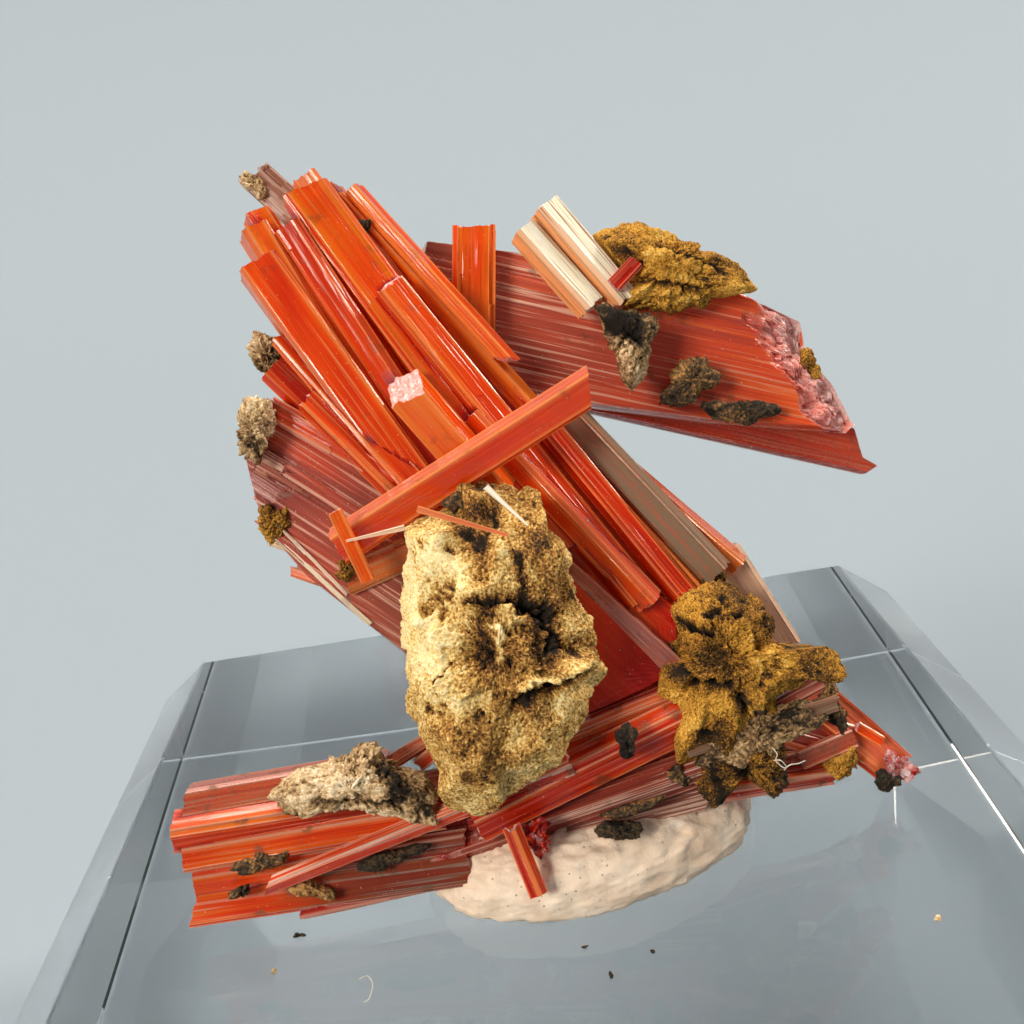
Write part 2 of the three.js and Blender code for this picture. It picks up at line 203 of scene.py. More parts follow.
# %% [markdown]
# ## The section of a crystal
# Cut across, a crocoite prism is a box with narrow facets on its corners. Its sides aren't truly flat:
# while it grew, the crystal switched between neighbouring faces again and again. That left long flat
# terraces of many widths, with low steps between them that catch the light as straight lines, and
# hair-fine striations on top. So each side of the section is a flight of random terraces. The crystal
# is thin along its corners, and thin crocoite is orange where thick crocoite is red, so a painted glow,
# standing in for light through the thin corners, raises the tone of each point towards the corners.

# %% Crystal section
FACE = np.array([0.0, -0.94, 0.34])
GLOW = 1.3
BROKEN_STRIP = 0.22


def crystal_axes(foot, tip):
    """Rows are across, out and along: along runs from foot to tip, and out is FACE made square to it."""
    along = unit(tip - foot)
    out = unit(FACE - FACE.dot(along) * along)
    return np.stack([np.cross(out, along), out, along])


def striated(places, length, rng, coarse, relief, fine_relief):
    """How far the skin stands at places from 0 to 1 of a side: terraces about coarse wide, each at its
    own depth down to relief and slightly tilted, less a fine random depth. The start stays at zero.
    Also gives each place the shade of its terrace, from -0.5 to 0.5."""
    count = max(1, round(length / coarse))
    knots = np.sort(rng.uniform(0.04, 0.96, count - 1))
    starts, ends = np.array([0, *knots]), np.array([*knots, 1])
    depths, tilts = rng.uniform(-relief, 0, count), rng.uniform(-0.35, 0.35, count) * relief
    terrace = np.searchsorted(knots, places)
    within = (places - starts[terrace]) / (ends - starts)[terrace] - 0.5
    fine = fine_relief * rng.uniform(0, 1, len(places)) ** 3
    shades = rng.uniform(-0.5, 0.5, count)[terrace] + rng.normal(0, 0.12, len(places))
    return np.where(places > 0, depths[terrace] + tilts[terrace] * within - fine, 0), shades


def crystal_section(wide, deep, cut, rng, coarse, relief, fine):
    """Points round a striated box with cut corners, their normals, which are corners, and shades."""
    x, y = wide / 2, deep / 2
    a, b, c, d = cut * min(wide, deep) * rng.uniform(0.5, 1.6, 4)
    corners = np.array([[x, a - y], [x, y - b], [x - b, y], [c - x, y],
                        [-x, y - c], [-x, d - y], [d - x, -y], [x - a, -y]])
    sides = np.roll(corners, -1, axis=0) - corners
    lengths = np.linalg.norm(sides, axis=1)
    normals = np.stack([sides[:, 1], -sides[:, 0]], 1) / lengths[:, None]
    points, facing, corner, shade = [], [], [], []
    for start, side, normal, length in zip(corners, sides, normals, lengths):
        steps = rng.uniform(0.35, 1.65, max(1, round(length / fine)))
        places = (np.cumsum(steps) - steps) / steps.sum()
        skin, shades = striated(places, length, rng, coarse, relief, 0.2 * fine)
        points.append(start + places[:, None] * side + skin[:, None] * normal)
        facing.append(np.tile(normal, (len(places), 1)))
        corner.append(places == 0)
        # GLOW is a painted glow: the tone rises towards the corners of each side, as if lit through the
        # thin edges
        shade.append(shades + rng.uniform(-0.3, 0.3) + GLOW * (np.abs(2 * places - 1) ** 4 - 0.2))
    return tuple(np.concatenate(part) for part in (points, facing, corner, shade))


def broken(places, seed):
    """The relief of a broken end: strips of the crystal snap at their own heights, with a rough skin."""
    heights = np.random.default_rng(seed).uniform(-1, 1, 128)
    bent = places[:, 0] + 0.1 * np.sin(5 * places[:, 1] + seed)
    row = np.floor(bent / BROKEN_STRIP).astype(int)
    column = np.floor(places[:, 1] / (1.7 * BROKEN_STRIP)).astype(int)
    return 0.7 * heights[(row * 7 + column * 13) % 128] + 0.4 * ripples(places, 0.3, seed)


sample = crystal_section(1.2, 1.0, 0.13, np.random.default_rng(0), 0.5, 0.035, 0.07)
print("points round a crystal of 1.2 by 1 mm:", len(sample[0]))

# %% [markdown]
# ## A striated prism
# The prism carries its section from the foot to the tip. Growth layers end halfway up a face, so some
# strips of facets are raised or sunk over a part of the length, with a sharp step at each end. The two
# ends are closed with rings that shrink to a centre, and carry the relief of a clean or rough break.
# Several marks are stored with the points: coordinates along the grain, corners and striation lines
# that carry painted highlights, broken ends, the crystal's own tone from red to orange with a painted
# glow towards the corners, its dust, and a pale layer on some faces that is partly a coating and partly
# painted sheen and shade.

# %% Prism surface
ALONG_GRAIN = [1, 1, 0.3]


def prism(foot, tip, wide, deep, seed, turn=0.0, taper=1.0, slant=0.0, lean=0.0, foot_slant=0.0,
          rough=0.04, foot_rough=0.08, cut=0.13, coarse=0.5, relief=0.035, fine=0.07, rows=16, layers=6,
          rings=5, tone=0.5, contrast=0.3, dust=0.0, glint_lines=0.25, pale=0.0, pale_side=90.0, pale_until=9.0):
    """The surface of one prism: point(walk, way) = foot + axes * (section(walk) * size(way)
    + normal(walk) * layers(walk, way), way * length). Slant and lean tilt the tip across and out, and
    foot_slant tilts the foot. The pale layer, partly a coating and partly painted sheen and shade, lies on
    the faces that look towards pale_side, or on all of them if that is None, and fades out where way
    passes pale_until."""
    rng = np.random.default_rng(seed)
    foot, tip = np.asarray(foot, float), np.asarray(tip, float)
    length = np.linalg.norm(tip - foot)
    c, s = abs(math.cos(math.radians(turn))), abs(math.sin(math.radians(turn)))
    shrink = min(wide / (wide * c + deep * s), deep / (wide * s + deep * c))
    section, normals, corner, shade = crystal_section(
        wide * shrink, deep * shrink, cut, rng, coarse, relief, fine)
    count = len(section)
    starts = rng.uniform(-0.4, 0.9, layers)
    stops = starts + rng.uniform(0.15, 0.9, layers)
    marks = np.concatenate([starts, stops])
    marks = marks[(marks > 0.02) & (marks < 0.97)]
    ways = np.unique(np.concatenate([np.linspace(0, 1, rows), marks, marks + 0.005]))
    skin = 0.1 * relief * np.sin(2 * np.pi * (ways[:, None] * length / 3 + rng.uniform(0, 1, count)))
    for start, stop in zip(starts, stops):
        strip = (np.arange(count) - rng.integers(count)) % count < rng.integers(2, max(4, count // 8))
        inside = (ways > start + 0.002) & (ways < stop + 0.002)
        skin += rng.uniform(-0.9, 0.25) * relief * inside[:, None] * strip
    size = 1 + (taper - 1) * ways[:, None, None]
    grid = turned(section * size + normals * skin[..., None], turn)

    def end(places, tilts, roughness, key):
        return places @ tilts + roughness * broken(places, key)

    tip_end, foot_end = ((slant, lean), rough, seed + 9), ((foot_slant, 0.0), foot_rough, seed + 5)
    low, high = end(grid[0], *foot_end), length + end(grid[-1], *tip_end)
    parts = [np.concatenate([grid, (low + ways[:, None] * (high - low))[..., None]], -1).reshape(-1, 3)]
    shrinking = np.linspace(1, 0, rings + 1)[1:-1]
    for rim, base, kind in ((grid[-1], length, tip_end), (grid[0], 0, foot_end)):
        inner = np.concatenate([rim * scale for scale in shrinking] + [np.zeros((1, 2))])
        parts.append(np.column_stack([inner, base + end(inner, *kind)]))
    local = np.concatenate(parts)
    rim, inner_count = count * len(ways), count * len(shrinking)
    low_rim = rim + inner_count + 1
    ring = np.arange(count)
    under = np.column_stack([np.roll(ring, -1), ring, low_rim + ring, low_rim + np.roll(ring, -1)])
    quads = [wrapped_rows(len(ways), count), wrapped_rows(2, count, rim - count),
             wrapped_rows(len(shrinking), count, rim), under,
             wrapped_rows(len(shrinking), count, low_rim)[:, ::-1]]
    last = len(local) - 1
    triangles = [fan(low_rim - 1 - count, count, low_rim - 1), fan(last - count, count, last, True)]
    # the pale layer is partly a coating and partly painted sheen and shade on the faces turned towards
    # pale_side
    coat_and_sheen = np.full(count, pale)
    if pale_side is not None:
        side = np.array([math.cos(math.radians(pale_side)), math.sin(math.radians(pale_side))])
        coat_and_sheen = np.clip(1.8 * normals @ side - 0.6, 0, 1) * pale
    coat_and_sheen = coat_and_sheen * np.clip((pale_until - ways[:, None]) / 0.3 + 0.4 * shade, 0, 1)
    blank = np.zeros(len(local) - rim)
    shades = np.concatenate([np.tile(shade, len(ways)), blank])
    full = np.ones(len(local))
    return {
        "points": foot + local @ crystal_axes(foot, tip),
        "quads": np.concatenate(quads),
        "triangles": np.concatenate(triangles),
        "marks": {
            "grain": local + rng.uniform(-40, 40, 3),
            # the corner mark and the glint-lines mark carry painted highlights
            "edge": np.concatenate([np.tile(corner, len(ways)), blank]),
            "fresh": np.concatenate([np.zeros(rim), blank + 0.7]),
            "tone": tone + contrast * shades + 0.1 * ripples(local * ALONG_GRAIN, 1.3, seed + 3),
            "dust": full * dust,
            "glint_lines": full * glint_lines,
            "pale": np.concatenate([coat_and_sheen.ravel(), blank]),
        },
    }


print("quads of one prism:", len(prism((0, 0, 0), (0, 0, 5), 1, 1, 0)["quads"]))

# %% [markdown]
# ## Crystals that grew into each other
# Crocoite crystals in a bundle share their substance where they meet. Each prism is made as a closed
# surface first. Then a boolean join removes what lies inside its neighbours, so that one clean skin is
# left. That matters in a clear material, because every hidden wall would bend the light. Every piece ends
# in the same step, which gives it a material and its place in the frame, and hides the CAD node that it
# stands for.


def grown_together(name, surfaces):
    """One object whose skin is the outside of all the closed surfaces together."""
    objects = [add_surface(f"{name}_{i}", surface) for i, surface in enumerate(surfaces)]
    for other in objects[1:]:
        join = objects[0].modifiers.new("join", "BOOLEAN")
        join.operation = "UNION"
        join.solver = "MANIFOLD"
        join.object = other
    view = bpy.context.evaluated_depsgraph_get()
    mesh = bpy.data.meshes.new_from_object(objects[0].evaluated_get(view))
    mesh.name = name
    for old in objects:
        bpy.data.objects.remove(old)
    piece = bpy.data.objects.new(name, mesh)
    bpy.context.scene.collection.objects.link(piece)
    return piece


def finish_piece(piece, material, *nodes):
    """Gives a piece its material, hangs it under the root of the frame, and hides the CAD nodes that it
    stands for."""
    piece.data.materials.clear()
    piece.data.materials.append(material)
    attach(piece, "root")
    if nodes:
        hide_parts(*nodes)
    piece.data.calc_loop_triangles()
    print(f"{piece.name}: {len(piece.data.loop_triangles)} triangles")


# %% [markdown]
# ## Patterns shared by the materials
# Several finishes need the same few patterns, so each pattern is a node group with named sockets.
# "Streaks" stretches noise along a crystal, in the crystal's own coordinates, which the mesh carries in
# its grain mark. "Earth" mixes coarse and fine noise for limonite, putty and dirt.

# %% Node helpers
def put(tree, kind, values=None, links=None, **settings):
    """A new node: settings are its own properties, values its sockets' values, links what feeds them."""
    node = tree.nodes.new(kind)
    for key, value in settings.items():
        setattr(node, key, value)
    for key, value in (values or {}).items():
        node.inputs[key].default_value = value
    for key, source in (links or {}).items():
        tree.links.new(source, node.inputs[key])
    return node


def feed(tree, socket, source):
    """Links an output to a socket, or writes a number or a colour into it."""
    if isinstance(source, bpy.types.NodeSocket):
        tree.links.new(source, socket)
    else:
        socket.default_value = (*source, 1.0) if isinstance(source, tuple) else source


def ramp(tree, source, stops):
    """The colour of a ramp with (position, colour) stops."""
    node = put(tree, "ShaderNodeValToRGB", links={"Fac": source})
    points = node.color_ramp.elements
    while len(points) < len(stops):
        points.new(0.5)
    for point, (position, colour) in zip(points, stops):
        point.position = position
        point.color = (*colour, 1.0)
    return node.outputs["Color"]


def step(tree, source, low, high):
    """0 below low, 1 above high, and a smooth rise between them."""
    node = put(tree, "ShaderNodeMapRange", {"From Min": low, "From Max": high}, {"Value": source},
               interpolation_type="SMOOTHSTEP")
    return node.outputs["Result"]


def mixed(tree, factor, first, second):
    """Mixes two colours, each an output or three numbers, by an output or a number."""
    node = put(tree, "ShaderNodeMix", data_type="RGBA")
    for slot, source in ((0, factor), (6, first), (7, second)):
        feed(tree, node.inputs[slot], source)
    return node.outputs[2]


def maths(tree, operation, *sources, clamp=False):
    """A Math node on outputs or numbers."""
    node = put(tree, "ShaderNodeMath", operation=operation, use_clamp=clamp)
    for slot, source in enumerate(sources):
        feed(tree, node.inputs[slot], source)
    return node.outputs[0]


def times(tree, first, second, clamp=False):
    """first * second."""
    return maths(tree, "MULTIPLY", first, second, clamp=clamp)


def scaled(tree, source, gain, shift, clamp=False):
    """source * gain + shift."""
    return maths(tree, "MULTIPLY_ADD", source, gain, shift, clamp=clamp)


def mark(tree, name, vector=False):
    """Reads a mark of the mesh."""
    return put(tree, "ShaderNodeAttribute", attribute_name=name).outputs["Vector" if vector else "Fac"]


def new_group(name, inputs, outputs):
    """A shader node group with a Vector input, number inputs with defaults, and number outputs."""
    group = bpy.data.node_groups.new(name, "ShaderNodeTree")
    group.interface.new_socket(name="Vector", in_out="INPUT", socket_type="NodeSocketVector")
    for label, default in inputs:
        socket = group.interface.new_socket(name=label, in_out="INPUT", socket_type="NodeSocketFloat")
        socket.default_value = default
    for label in outputs:
        group.interface.new_socket(name=label, in_out="OUTPUT", socket_type="NodeSocketFloat")
    return group, group.nodes.new("NodeGroupInput").outputs, group.nodes.new("NodeGroupOutput").inputs


def new_material(name):
    """A material, its node tree, its Principled BSDF and its output."""
    material = bpy.data.materials.new(name)
    material.use_nodes = True
    tree = material.node_tree
    return material, tree, tree.nodes["Principled BSDF"], tree.nodes["Material Output"]

# %% Pattern groups
STREAK_STRETCH = (1.0, 1.0, 0.02)


def streaks_group():
    """Lines: noise that is stretched fifty times along the third axis of Vector, which is in mm."""
    group, entry, leave = new_group("streaks", [("Lines per mm", 6.0)], ["Lines"])
    bent = put(group, "ShaderNodeVectorMath", {1: STREAK_STRETCH}, {0: entry["Vector"]},
               operation="MULTIPLY")
    noise = put(group, "ShaderNodeTexNoise", {"Detail": 2.0, "Roughness": 0.7},
                {"Vector": bent.outputs[0], "Scale": entry["Lines per mm"]})
    group.links.new(noise.outputs["Fac"], leave["Lines"])
    return group


def earth_group():
    """Patches, Grains and Pits from coordinates in metres. Size and Grain are widths in mm."""
    outputs = ["Patches", "Grains", "Pits"]
    group, entry, leave = new_group("earth", [("Size", 1.0), ("Grain", 0.12)], outputs)
    enlarged = put(group, "ShaderNodeVectorMath", {"Scale": 1 / MM}, {0: entry["Vector"]},
                   operation="SCALE")
    in_mm = enlarged.outputs[0]
    rate, fine_rate = (maths(group, "DIVIDE", 1.0, entry[label]) for label in ("Size", "Grain"))
    patches = put(group, "ShaderNodeTexNoise", {"Detail": 3.0, "Roughness": 0.6},
                  {"Vector": in_mm, "Scale": rate})
    grains = put(group, "ShaderNodeTexNoise", {"Detail": 2.0, "Roughness": 0.7},
                 {"Vector": in_mm, "Scale": fine_rate})
    pits = put(group, "ShaderNodeTexVoronoi", {}, {"Vector": in_mm, "Scale": times(group, fine_rate, 0.5)})
    group.links.new(patches.outputs["Fac"], leave["Patches"])
    group.links.new(grains.outputs["Fac"], leave["Grains"])
    group.links.new(pits.outputs["Distance"], leave["Pits"])
    return group


STREAKS, EARTH = streaks_group(), earth_group()
print("pattern groups:", STREAKS.name, EARTH.name)

# %% Material helpers
def use_group(tree, group, vector, **values):
    """Places a node group in a material and gives back its outputs. Underscores stand for spaces."""
    values = {key.replace("_", " "): value for key, value in values.items()}
    return put(tree, "ShaderNodeGroup", values, {"Vector": vector}, node_tree=group).outputs


def object_place(tree):
    """The Object coordinates of the piece, in metres."""
    return put(tree, "ShaderNodeTexCoord").outputs["Object"]


def bumped(tree, shader, height, strength, distance):
    """Feeds a height through a Bump node into the shader. distance is in mm."""
    relief = put(tree, "ShaderNodeBump", {"Strength": strength, "Distance": distance * MM},
                 {"Height": height})
    tree.links.new(relief.outputs["Normal"], shader.inputs["Normal"])

# %% [markdown]
# ## Crocoite
# Crocoite is clear to cloudy. The real mineral bends light very strongly, but at its true index a pale
# studio would lay a grey veil over every red face, so a plain 1.5 and a weaker mirror layer stand in.
# A thin splinter is orange and a thick crystal is deep red, because the colour is taken from the light
# on its way through. So part of the material is plain transmission with absorption inside, and the
# cloudy rest is plain coloured scattering. Streaks along the grain vary the colour, the roughness and
# the bump. The marks of the mesh choose the tone of each crystal, painted highlights on corners and
# striation lines, broken ends that turn pale with painted sparkle, a pale layer on some faces that is
# partly a coating and partly painted sheen and shade, and grey dust.

# %% Crocoite material
CROCOITE_IOR, CROCOITE_MIRROR = 1.5, 0.3
BREAK_COLOUR = (1.0, 0.92, 0.94)
GRIT_COLOUR = (0.93, 0.62, 0.30)
STAIN_COLOUR = (0.12, 0.055, 0.018)
DUST_COLOUR = (0.26, 0.18, 0.105)


def crocoite(name, stops, glint_colour, clear, rough, coat_and_sheen_colour=(0.66, 0.34, 0.26), lines=8.0, line_tone=0.35,
             bump=0.3, dirt=0.5, absorb=(0.97, 0.35, 0.03), density=600.0):
    """One kind of crocoite. stops colour the body from its reddest to its most orange tone, the glint
    colour is painted highlight on corners and striation lines, the layer colour belongs to a pale layer
    which is partly a coating and partly painted sheen and shade, clear the share of light that goes
    through, and density the absorption per metre."""
    material, tree, shader, output = new_material(name)
    lines_out = use_group(tree, STREAKS, mark(tree, "grain", vector=True), Lines_per_mm=lines)["Lines"]
    earth = use_group(tree, EARTH, object_place(tree), Size=0.7, Grain=0.1)
    tone = maths(tree, "ADD", mark(tree, "tone"), scaled(tree, lines_out, line_tone, -0.5 * line_tone))
    body = ramp(tree, tone, stops)
    line = step(tree, lines_out, 0.52, 0.66)
    # pale layer: partly a coating, partly painted sheen and shade
    coat_and_sheen = times(tree, mark(tree, "pale"), scaled(tree, line, 0.35, 0.75), clamp=True)
    body = mixed(tree, coat_and_sheen, body, coat_and_sheen_colour)
    # painted highlights: the glint colour is laid on striation lines as far as the glint-lines mark asks,
    # and on corners
    shine = times(tree, scaled(tree, line, 0.95, 0.05), mark(tree, "glint_lines"))
    shine = maths(tree, "MAXIMUM", shine, times(tree, mark(tree, "edge"), 0.6), clamp=True)
    body = mixed(tree, shine, body, glint_colour)
    fresh = mark(tree, "fresh")
    # broken ends turn pale, with painted sparkle on their grains
    glitter = times(tree, fresh, scaled(tree, earth["Grains"], 2.6, -0.45), clamp=True)
    body = mixed(tree, glitter, body, BREAK_COLOUR)
    body = mixed(tree, times(tree, step(tree, earth["Grains"], 0.69, 0.73), 0.6), body, GRIT_COLOUR)
    stain = times(tree, step(tree, earth["Patches"], 0.60, 0.70), dirt)
    body = mixed(tree, stain, body, STAIN_COLOUR)
    streaky = scaled(tree, lines_out, 1.7, scaled(tree, earth["Grains"], 0.9, -0.5))
    dust = times(tree, mark(tree, "dust"), streaky, clamp=True)
    body = mixed(tree, dust, body, DUST_COLOUR)
    tree.links.new(body, shader.inputs["Base Color"])
    matt = maths(tree, "ADD", maths(tree, "ADD", stain, dust), times(tree, fresh, 0.15))
    skin = scaled(tree, lines_out, 0.2, rough - 0.1)
    tree.links.new(scaled(tree, matt, 0.4, skin, clamp=True), shader.inputs["Roughness"])
    bumped(tree, shader, lines_out, bump, 0.03)
    shader.inputs["IOR"].default_value = CROCOITE_IOR
    shader.inputs["Specular IOR Level"].default_value = CROCOITE_MIRROR
    shader.inputs["Transmission Weight"].default_value = clear
    inside = put(tree, "ShaderNodeVolumeAbsorption", {"Color": (*absorb, 1.0), "Density": density})
    tree.links.new(inside.outputs[0], output.inputs["Volume"])
    return material


VIVID_STOPS = [(0.0, (0.28, 0.004, 0.001)), (0.3, (0.64, 0.020, 0.001)), (0.6, (0.91, 0.070, 0.002)),
               (1.0, (0.98, 0.21, 0.008))]
STRIATED_STOPS = [(0.0, (0.16, 0.014, 0.010)), (0.35, (0.40, 0.045, 0.028)), (0.7, (0.78, 0.07, 0.02)),
                  (1.0, (0.93, 0.15, 0.02))]
DARK_STOPS = [(0.0, (0.20, 0.002, 0.001)), (0.4, (0.60, 0.010, 0.002)), (0.7, (0.85, 0.05, 0.004)),
              (1.0, (0.95, 0.14, 0.01))]
PALE_STOPS = [(0.0, (0.50, 0.16, 0.05)), (0.35, (0.86, 0.52, 0.24)), (0.6, (0.97, 0.86, 0.60)),
              (1.0, (1.0, 0.96, 0.82))]
VIVID = crocoite("crocoite_vivid", VIVID_STOPS, (0.97, 0.38, 0.13), 0.4, 0.14, dirt=0.3)
# DUSKY's dark wine layer colour is partly a coating and partly painted shade and sheen on the lower bundle
DUSKY = crocoite("crocoite_dusky", VIVID_STOPS, (0.92, 0.62, 0.50), 0.4, 0.16, coat_and_sheen_colour=(0.085, 0.026, 0.018),
                 line_tone=1.0, dirt=0.6)
STRIATED = crocoite("crocoite_striated", STRIATED_STOPS, (0.94, 0.58, 0.43), 0.35, 0.2,
                    coat_and_sheen_colour=(0.36, 0.11, 0.068), line_tone=0.8, bump=0.6)
DARK = crocoite("crocoite_dark", DARK_STOPS, (0.80, 0.38, 0.27), 0.5, 0.12, coat_and_sheen_colour=(0.50, 0.22, 0.18))
PALE = crocoite("crocoite_pale", PALE_STOPS, (0.45, 0.20, 0.07), 0.1, 0.3, coat_and_sheen_colour=(0.96, 0.28, 0.02),
                lines=11.0, line_tone=1.8, bump=0.7, dirt=0.1, absorb=(0.99, 0.8, 0.5), density=400.0)
PEACH = crocoite("crocoite_peach", PALE_STOPS, (0.96, 0.66, 0.46), 0.3, 0.3, coat_and_sheen_colour=(0.80, 0.50, 0.36),
                 line_tone=0.3, dirt=0.2)
print("crocoite finishes:", [m.name for m in (VIVID, DUSKY, STRIATED, DARK, PALE, PEACH)])

# %% [markdown]
# ## Limonite
# Limonite is iron rust turned to stone: matt, crumbly, and anything from cream clay through ochre to
# black. The mesh carries the relief and two marks: how pale a place is, which also holds painted light
# and shade from the strokes, and how deep it lies, which darkens hollows and cracks as painted shade.
# The material adds patches and a sharp grain to the paleness, takes the depth off as painted shade, and
# reads the result on one ramp of earth colours, so every pale grain has dark ones beside it.

# %% Limonite material
LIMONITE_MIRROR = 0.25


def limonite(name, stops, size=1.3, grain=0.12, speckle=1.4, bump=0.7):
    """Earthy stone. stops run from black hollows to the palest clay."""
    material, tree, shader, _ = new_material(name)
    earth = use_group(tree, EARTH, object_place(tree), Size=size, Grain=grain)
    shade = scaled(tree, earth["Patches"], 0.7, maths(tree, "ADD", mark(tree, "tint"), -0.35))
    shade = scaled(tree, earth["Grains"], speckle, maths(tree, "ADD", shade, -0.5 * speckle))
    # the deep mark is painted shade: it darkens hollows and cracks
    body = ramp(tree, maths(tree, "SUBTRACT", shade, mark(tree, "deep")), stops)
    tree.links.new(body, shader.inputs["Base Color"])
    tree.links.new(scaled(tree, earth["Grains"], 0.3, 0.7, clamp=True), shader.inputs["Roughness"])
    bumped(tree, shader, earth["Grains"], bump, 0.07)
    shader.inputs["Specular IOR Level"].default_value = LIMONITE_MIRROR
    return material


CREAM_STOPS = [(0.0, (0.012, 0.007, 0.003)), (0.2, (0.11, 0.048, 0.012)), (0.38, (0.34, 0.15, 0.030)),
               (0.55, (0.55, 0.33, 0.085)), (0.72, (0.82, 0.59, 0.235)), (1.0, (0.97, 0.83, 0.48))]
OCHRE_STOPS = [(0.0, (0.008, 0.005, 0.002)), (0.25, (0.05, 0.024, 0.006)), (0.42, (0.19, 0.080, 0.010)),
               (0.6, (0.43, 0.20, 0.024)), (0.8, (0.63, 0.33, 0.042)), (1.0, (0.84, 0.56, 0.17))]
BEIGE_STOPS = [(0.0, (0.012, 0.008, 0.005)), (0.2, (0.075, 0.045, 0.02)), (0.4, (0.26, 0.152, 0.066)),
               (0.6, (0.50, 0.335, 0.17)), (0.8, (0.74, 0.56, 0.34)), (1.0, (0.92, 0.78, 0.56))]
BLACK_STOPS = [(0.0, (0.006, 0.005, 0.004)), (0.35, (0.022, 0.017, 0.011)), (0.6, (0.075, 0.048, 0.026)),
               (0.8, (0.25, 0.12, 0.036)), (1.0, (0.52, 0.29, 0.10))]
CREAM = limonite("limonite_cream", CREAM_STOPS, grain=0.085, speckle=1.5)
OCHRE = limonite("limonite_ochre", OCHRE_STOPS, grain=0.06, speckle=1.5)
BEIGE = limonite("limonite_beige", BEIGE_STOPS, size=0.9)
BLACK = limonite("limonite_black", BLACK_STOPS, size=0.6)
print("limonite finishes:", [m.name for m in (CREAM, OCHRE, BEIGE, BLACK)])

# %% [markdown]
# ## The lower bundle
# The bundle lies on the putty. Most prisms run its whole length and end on the left in one clean cut,
# and a second set runs from the nodule to the right. Some are turned about their length to show an edge.
# Each crystal draws its own random numbers from a seed, so the same specimen comes out every time.

# %% Seeds
BUNDLE_SEED, SPRAY_SEED, FAN_SEED, PRISM_SEED_STEP = 100, 500, 700, 17
SINGLE_SEED, CHIP_SEED, CLUSTER_SEED = 900, 960, 4000
LUMP_SEED, NODULE_SEED, SMALL_SEED, LUMP_SEED_STEP = 1200, 2000, 3000, 70
print("seeds of the bundle's first prisms:", [BUNDLE_SEED + PRISM_SEED_STEP * i for i in range(3)])

# %% Lower bundle
# DUSK lays the dark layer over the prisms from the foot to pale_until: partly a coating, partly painted
# shade and sheen
DUSK = dict(pale=1.0, pale_side=None, contrast=0.45, glint_lines=0.35)
LOWER_BUNDLE = [
    ((-4.6, -3.8, 22.5), (-10.9, -4.2, 22.6), 0.9, 1.1, dict(slant=0.3, tone=0.55, dust=0.5, glint_lines=0.5)),
    ((-2.8, -4.4, 21.8), (-11.3, -4.8, 22.0), 1.4, 1.5, dict(DUSK, turn=-36, slant=0.1, tone=0.7,
     pale_until=0.6)),
    ((-3.2, -4.7, 21.1), (-11.1, -4.9, 21.1), 1.0, 1.5, dict(tone=0.8, contrast=0.3, turn=8)),
    ((-2.6, -4.6, 20.1), (-11.0, -4.8, 20.2), 1.2, 1.6, dict(DUSK, turn=-10, tone=0.55, pale_until=0.68)),
    ((-2.6, -5.0, 19.4), (-11.1, -5.1, 19.5), 1.5, 1.5, dict(DUSK, turn=12, slant=0.4, tone=0.55,
     pale_until=0.72)),
    ((-3.4, -5.3, 19.1), (-7.9, -5.7, 19.05), 0.6, 0.9, dict(tone=0.4, turn=20)),
    ((0.9, -5.2, 22.5), (-8.6, -6.0, 20.4), 0.95, 0.8, dict(taper=0.75, turn=-36, tone=0.7, slant=0.9,
     contrast=0.5, glint_lines=1.2)),
    ((5.6, -4.0, 23.1), (-2.2, -5.3, 21.1), 1.7, 1.5, dict(foot_slant=0.4, tone=0.52, turn=-30,
     contrast=0.5, glint_lines=0.3)),
    ((6.3, -3.2, 23.6), (0.2, -3.9, 22.4), 1.3, 1.3, dict(foot_slant=-0.8, foot_rough=0.25, tone=0.65,
     turn=-22, contrast=0.5, glint_lines=0.7)),
    ((5.4, -3.8, 22.2), (-1.4, -4.8, 21.0), 1.0, 1.5, dict(tone=0.35, turn=20, contrast=0.5, foot_rough=0.2,
     glint_lines=0.5)),
    ((5.2, -4.5, 21.3), (-4.0, -4.9, 19.6), 1.3, 1.3, dict(DUSK, turn=-38, tone=0.4, glint_lines=1.4, pale=0.8)),
    ((5.0, -4.7, 20.3), (-1.6, -5.1, 19.8), 1.0, 0.9, dict(DUSK, turn=-38, taper=0.6, foot_slant=0.4,
     tone=0.5, glint_lines=3.2, relief=0.06)),
    ((9.1, -3.6, 19.7), (2.4, -4.5, 20.3), 0.9, 1.1, dict(turn=-30, tone=0.6, contrast=0.5, glint_lines=0.6,
     foot_rough=0.15)),
    ((8.7, -3.2, 20.3), (3.4, -4.1, 20.9), 0.8, 0.9, dict(DUSK, turn=-18, tone=0.3, pale=0.6)),
    ((-2.9, -3.6, 23.3), (-4.9, -3.9, 22.5), 0.6, 0.6, dict(tone=0.6, turn=30, dust=0.4)),
    ((-2.2, -3.9, 20.6), (-10.7, -4.1, 21.1), 2.4, 1.4, dict(tone=0.2)),
    ((7.4, -2.9, 21.4), (-2.6, -3.9, 20.9), 2.2, 1.5, dict(taper=0.9, tone=0.2)),
]


def prisms(rows, seed, **shared):
    """The surfaces of a list of (foot, tip, wide, deep, extras)."""
    return [prism(foot, tip, wide, deep, seed + PRISM_SEED_STEP * i, **{**shared, **extras})
            for i, (foot, tip, wide, deep, extras) in enumerate(rows)]


bundle = grown_together("lower_bundle_crystals", prisms(LOWER_BUNDLE, BUNDLE_SEED))
finish_piece(bundle, DUSKY, "lower_bundle")

# %% [markdown]
# ## The main spray
# The spray is the showpiece: long prisms that fan out to the top left. They end at different lengths,
# and the steps between them catch the light. The crystals grew side by side with nearly the same turn,
# so their faces flash together.

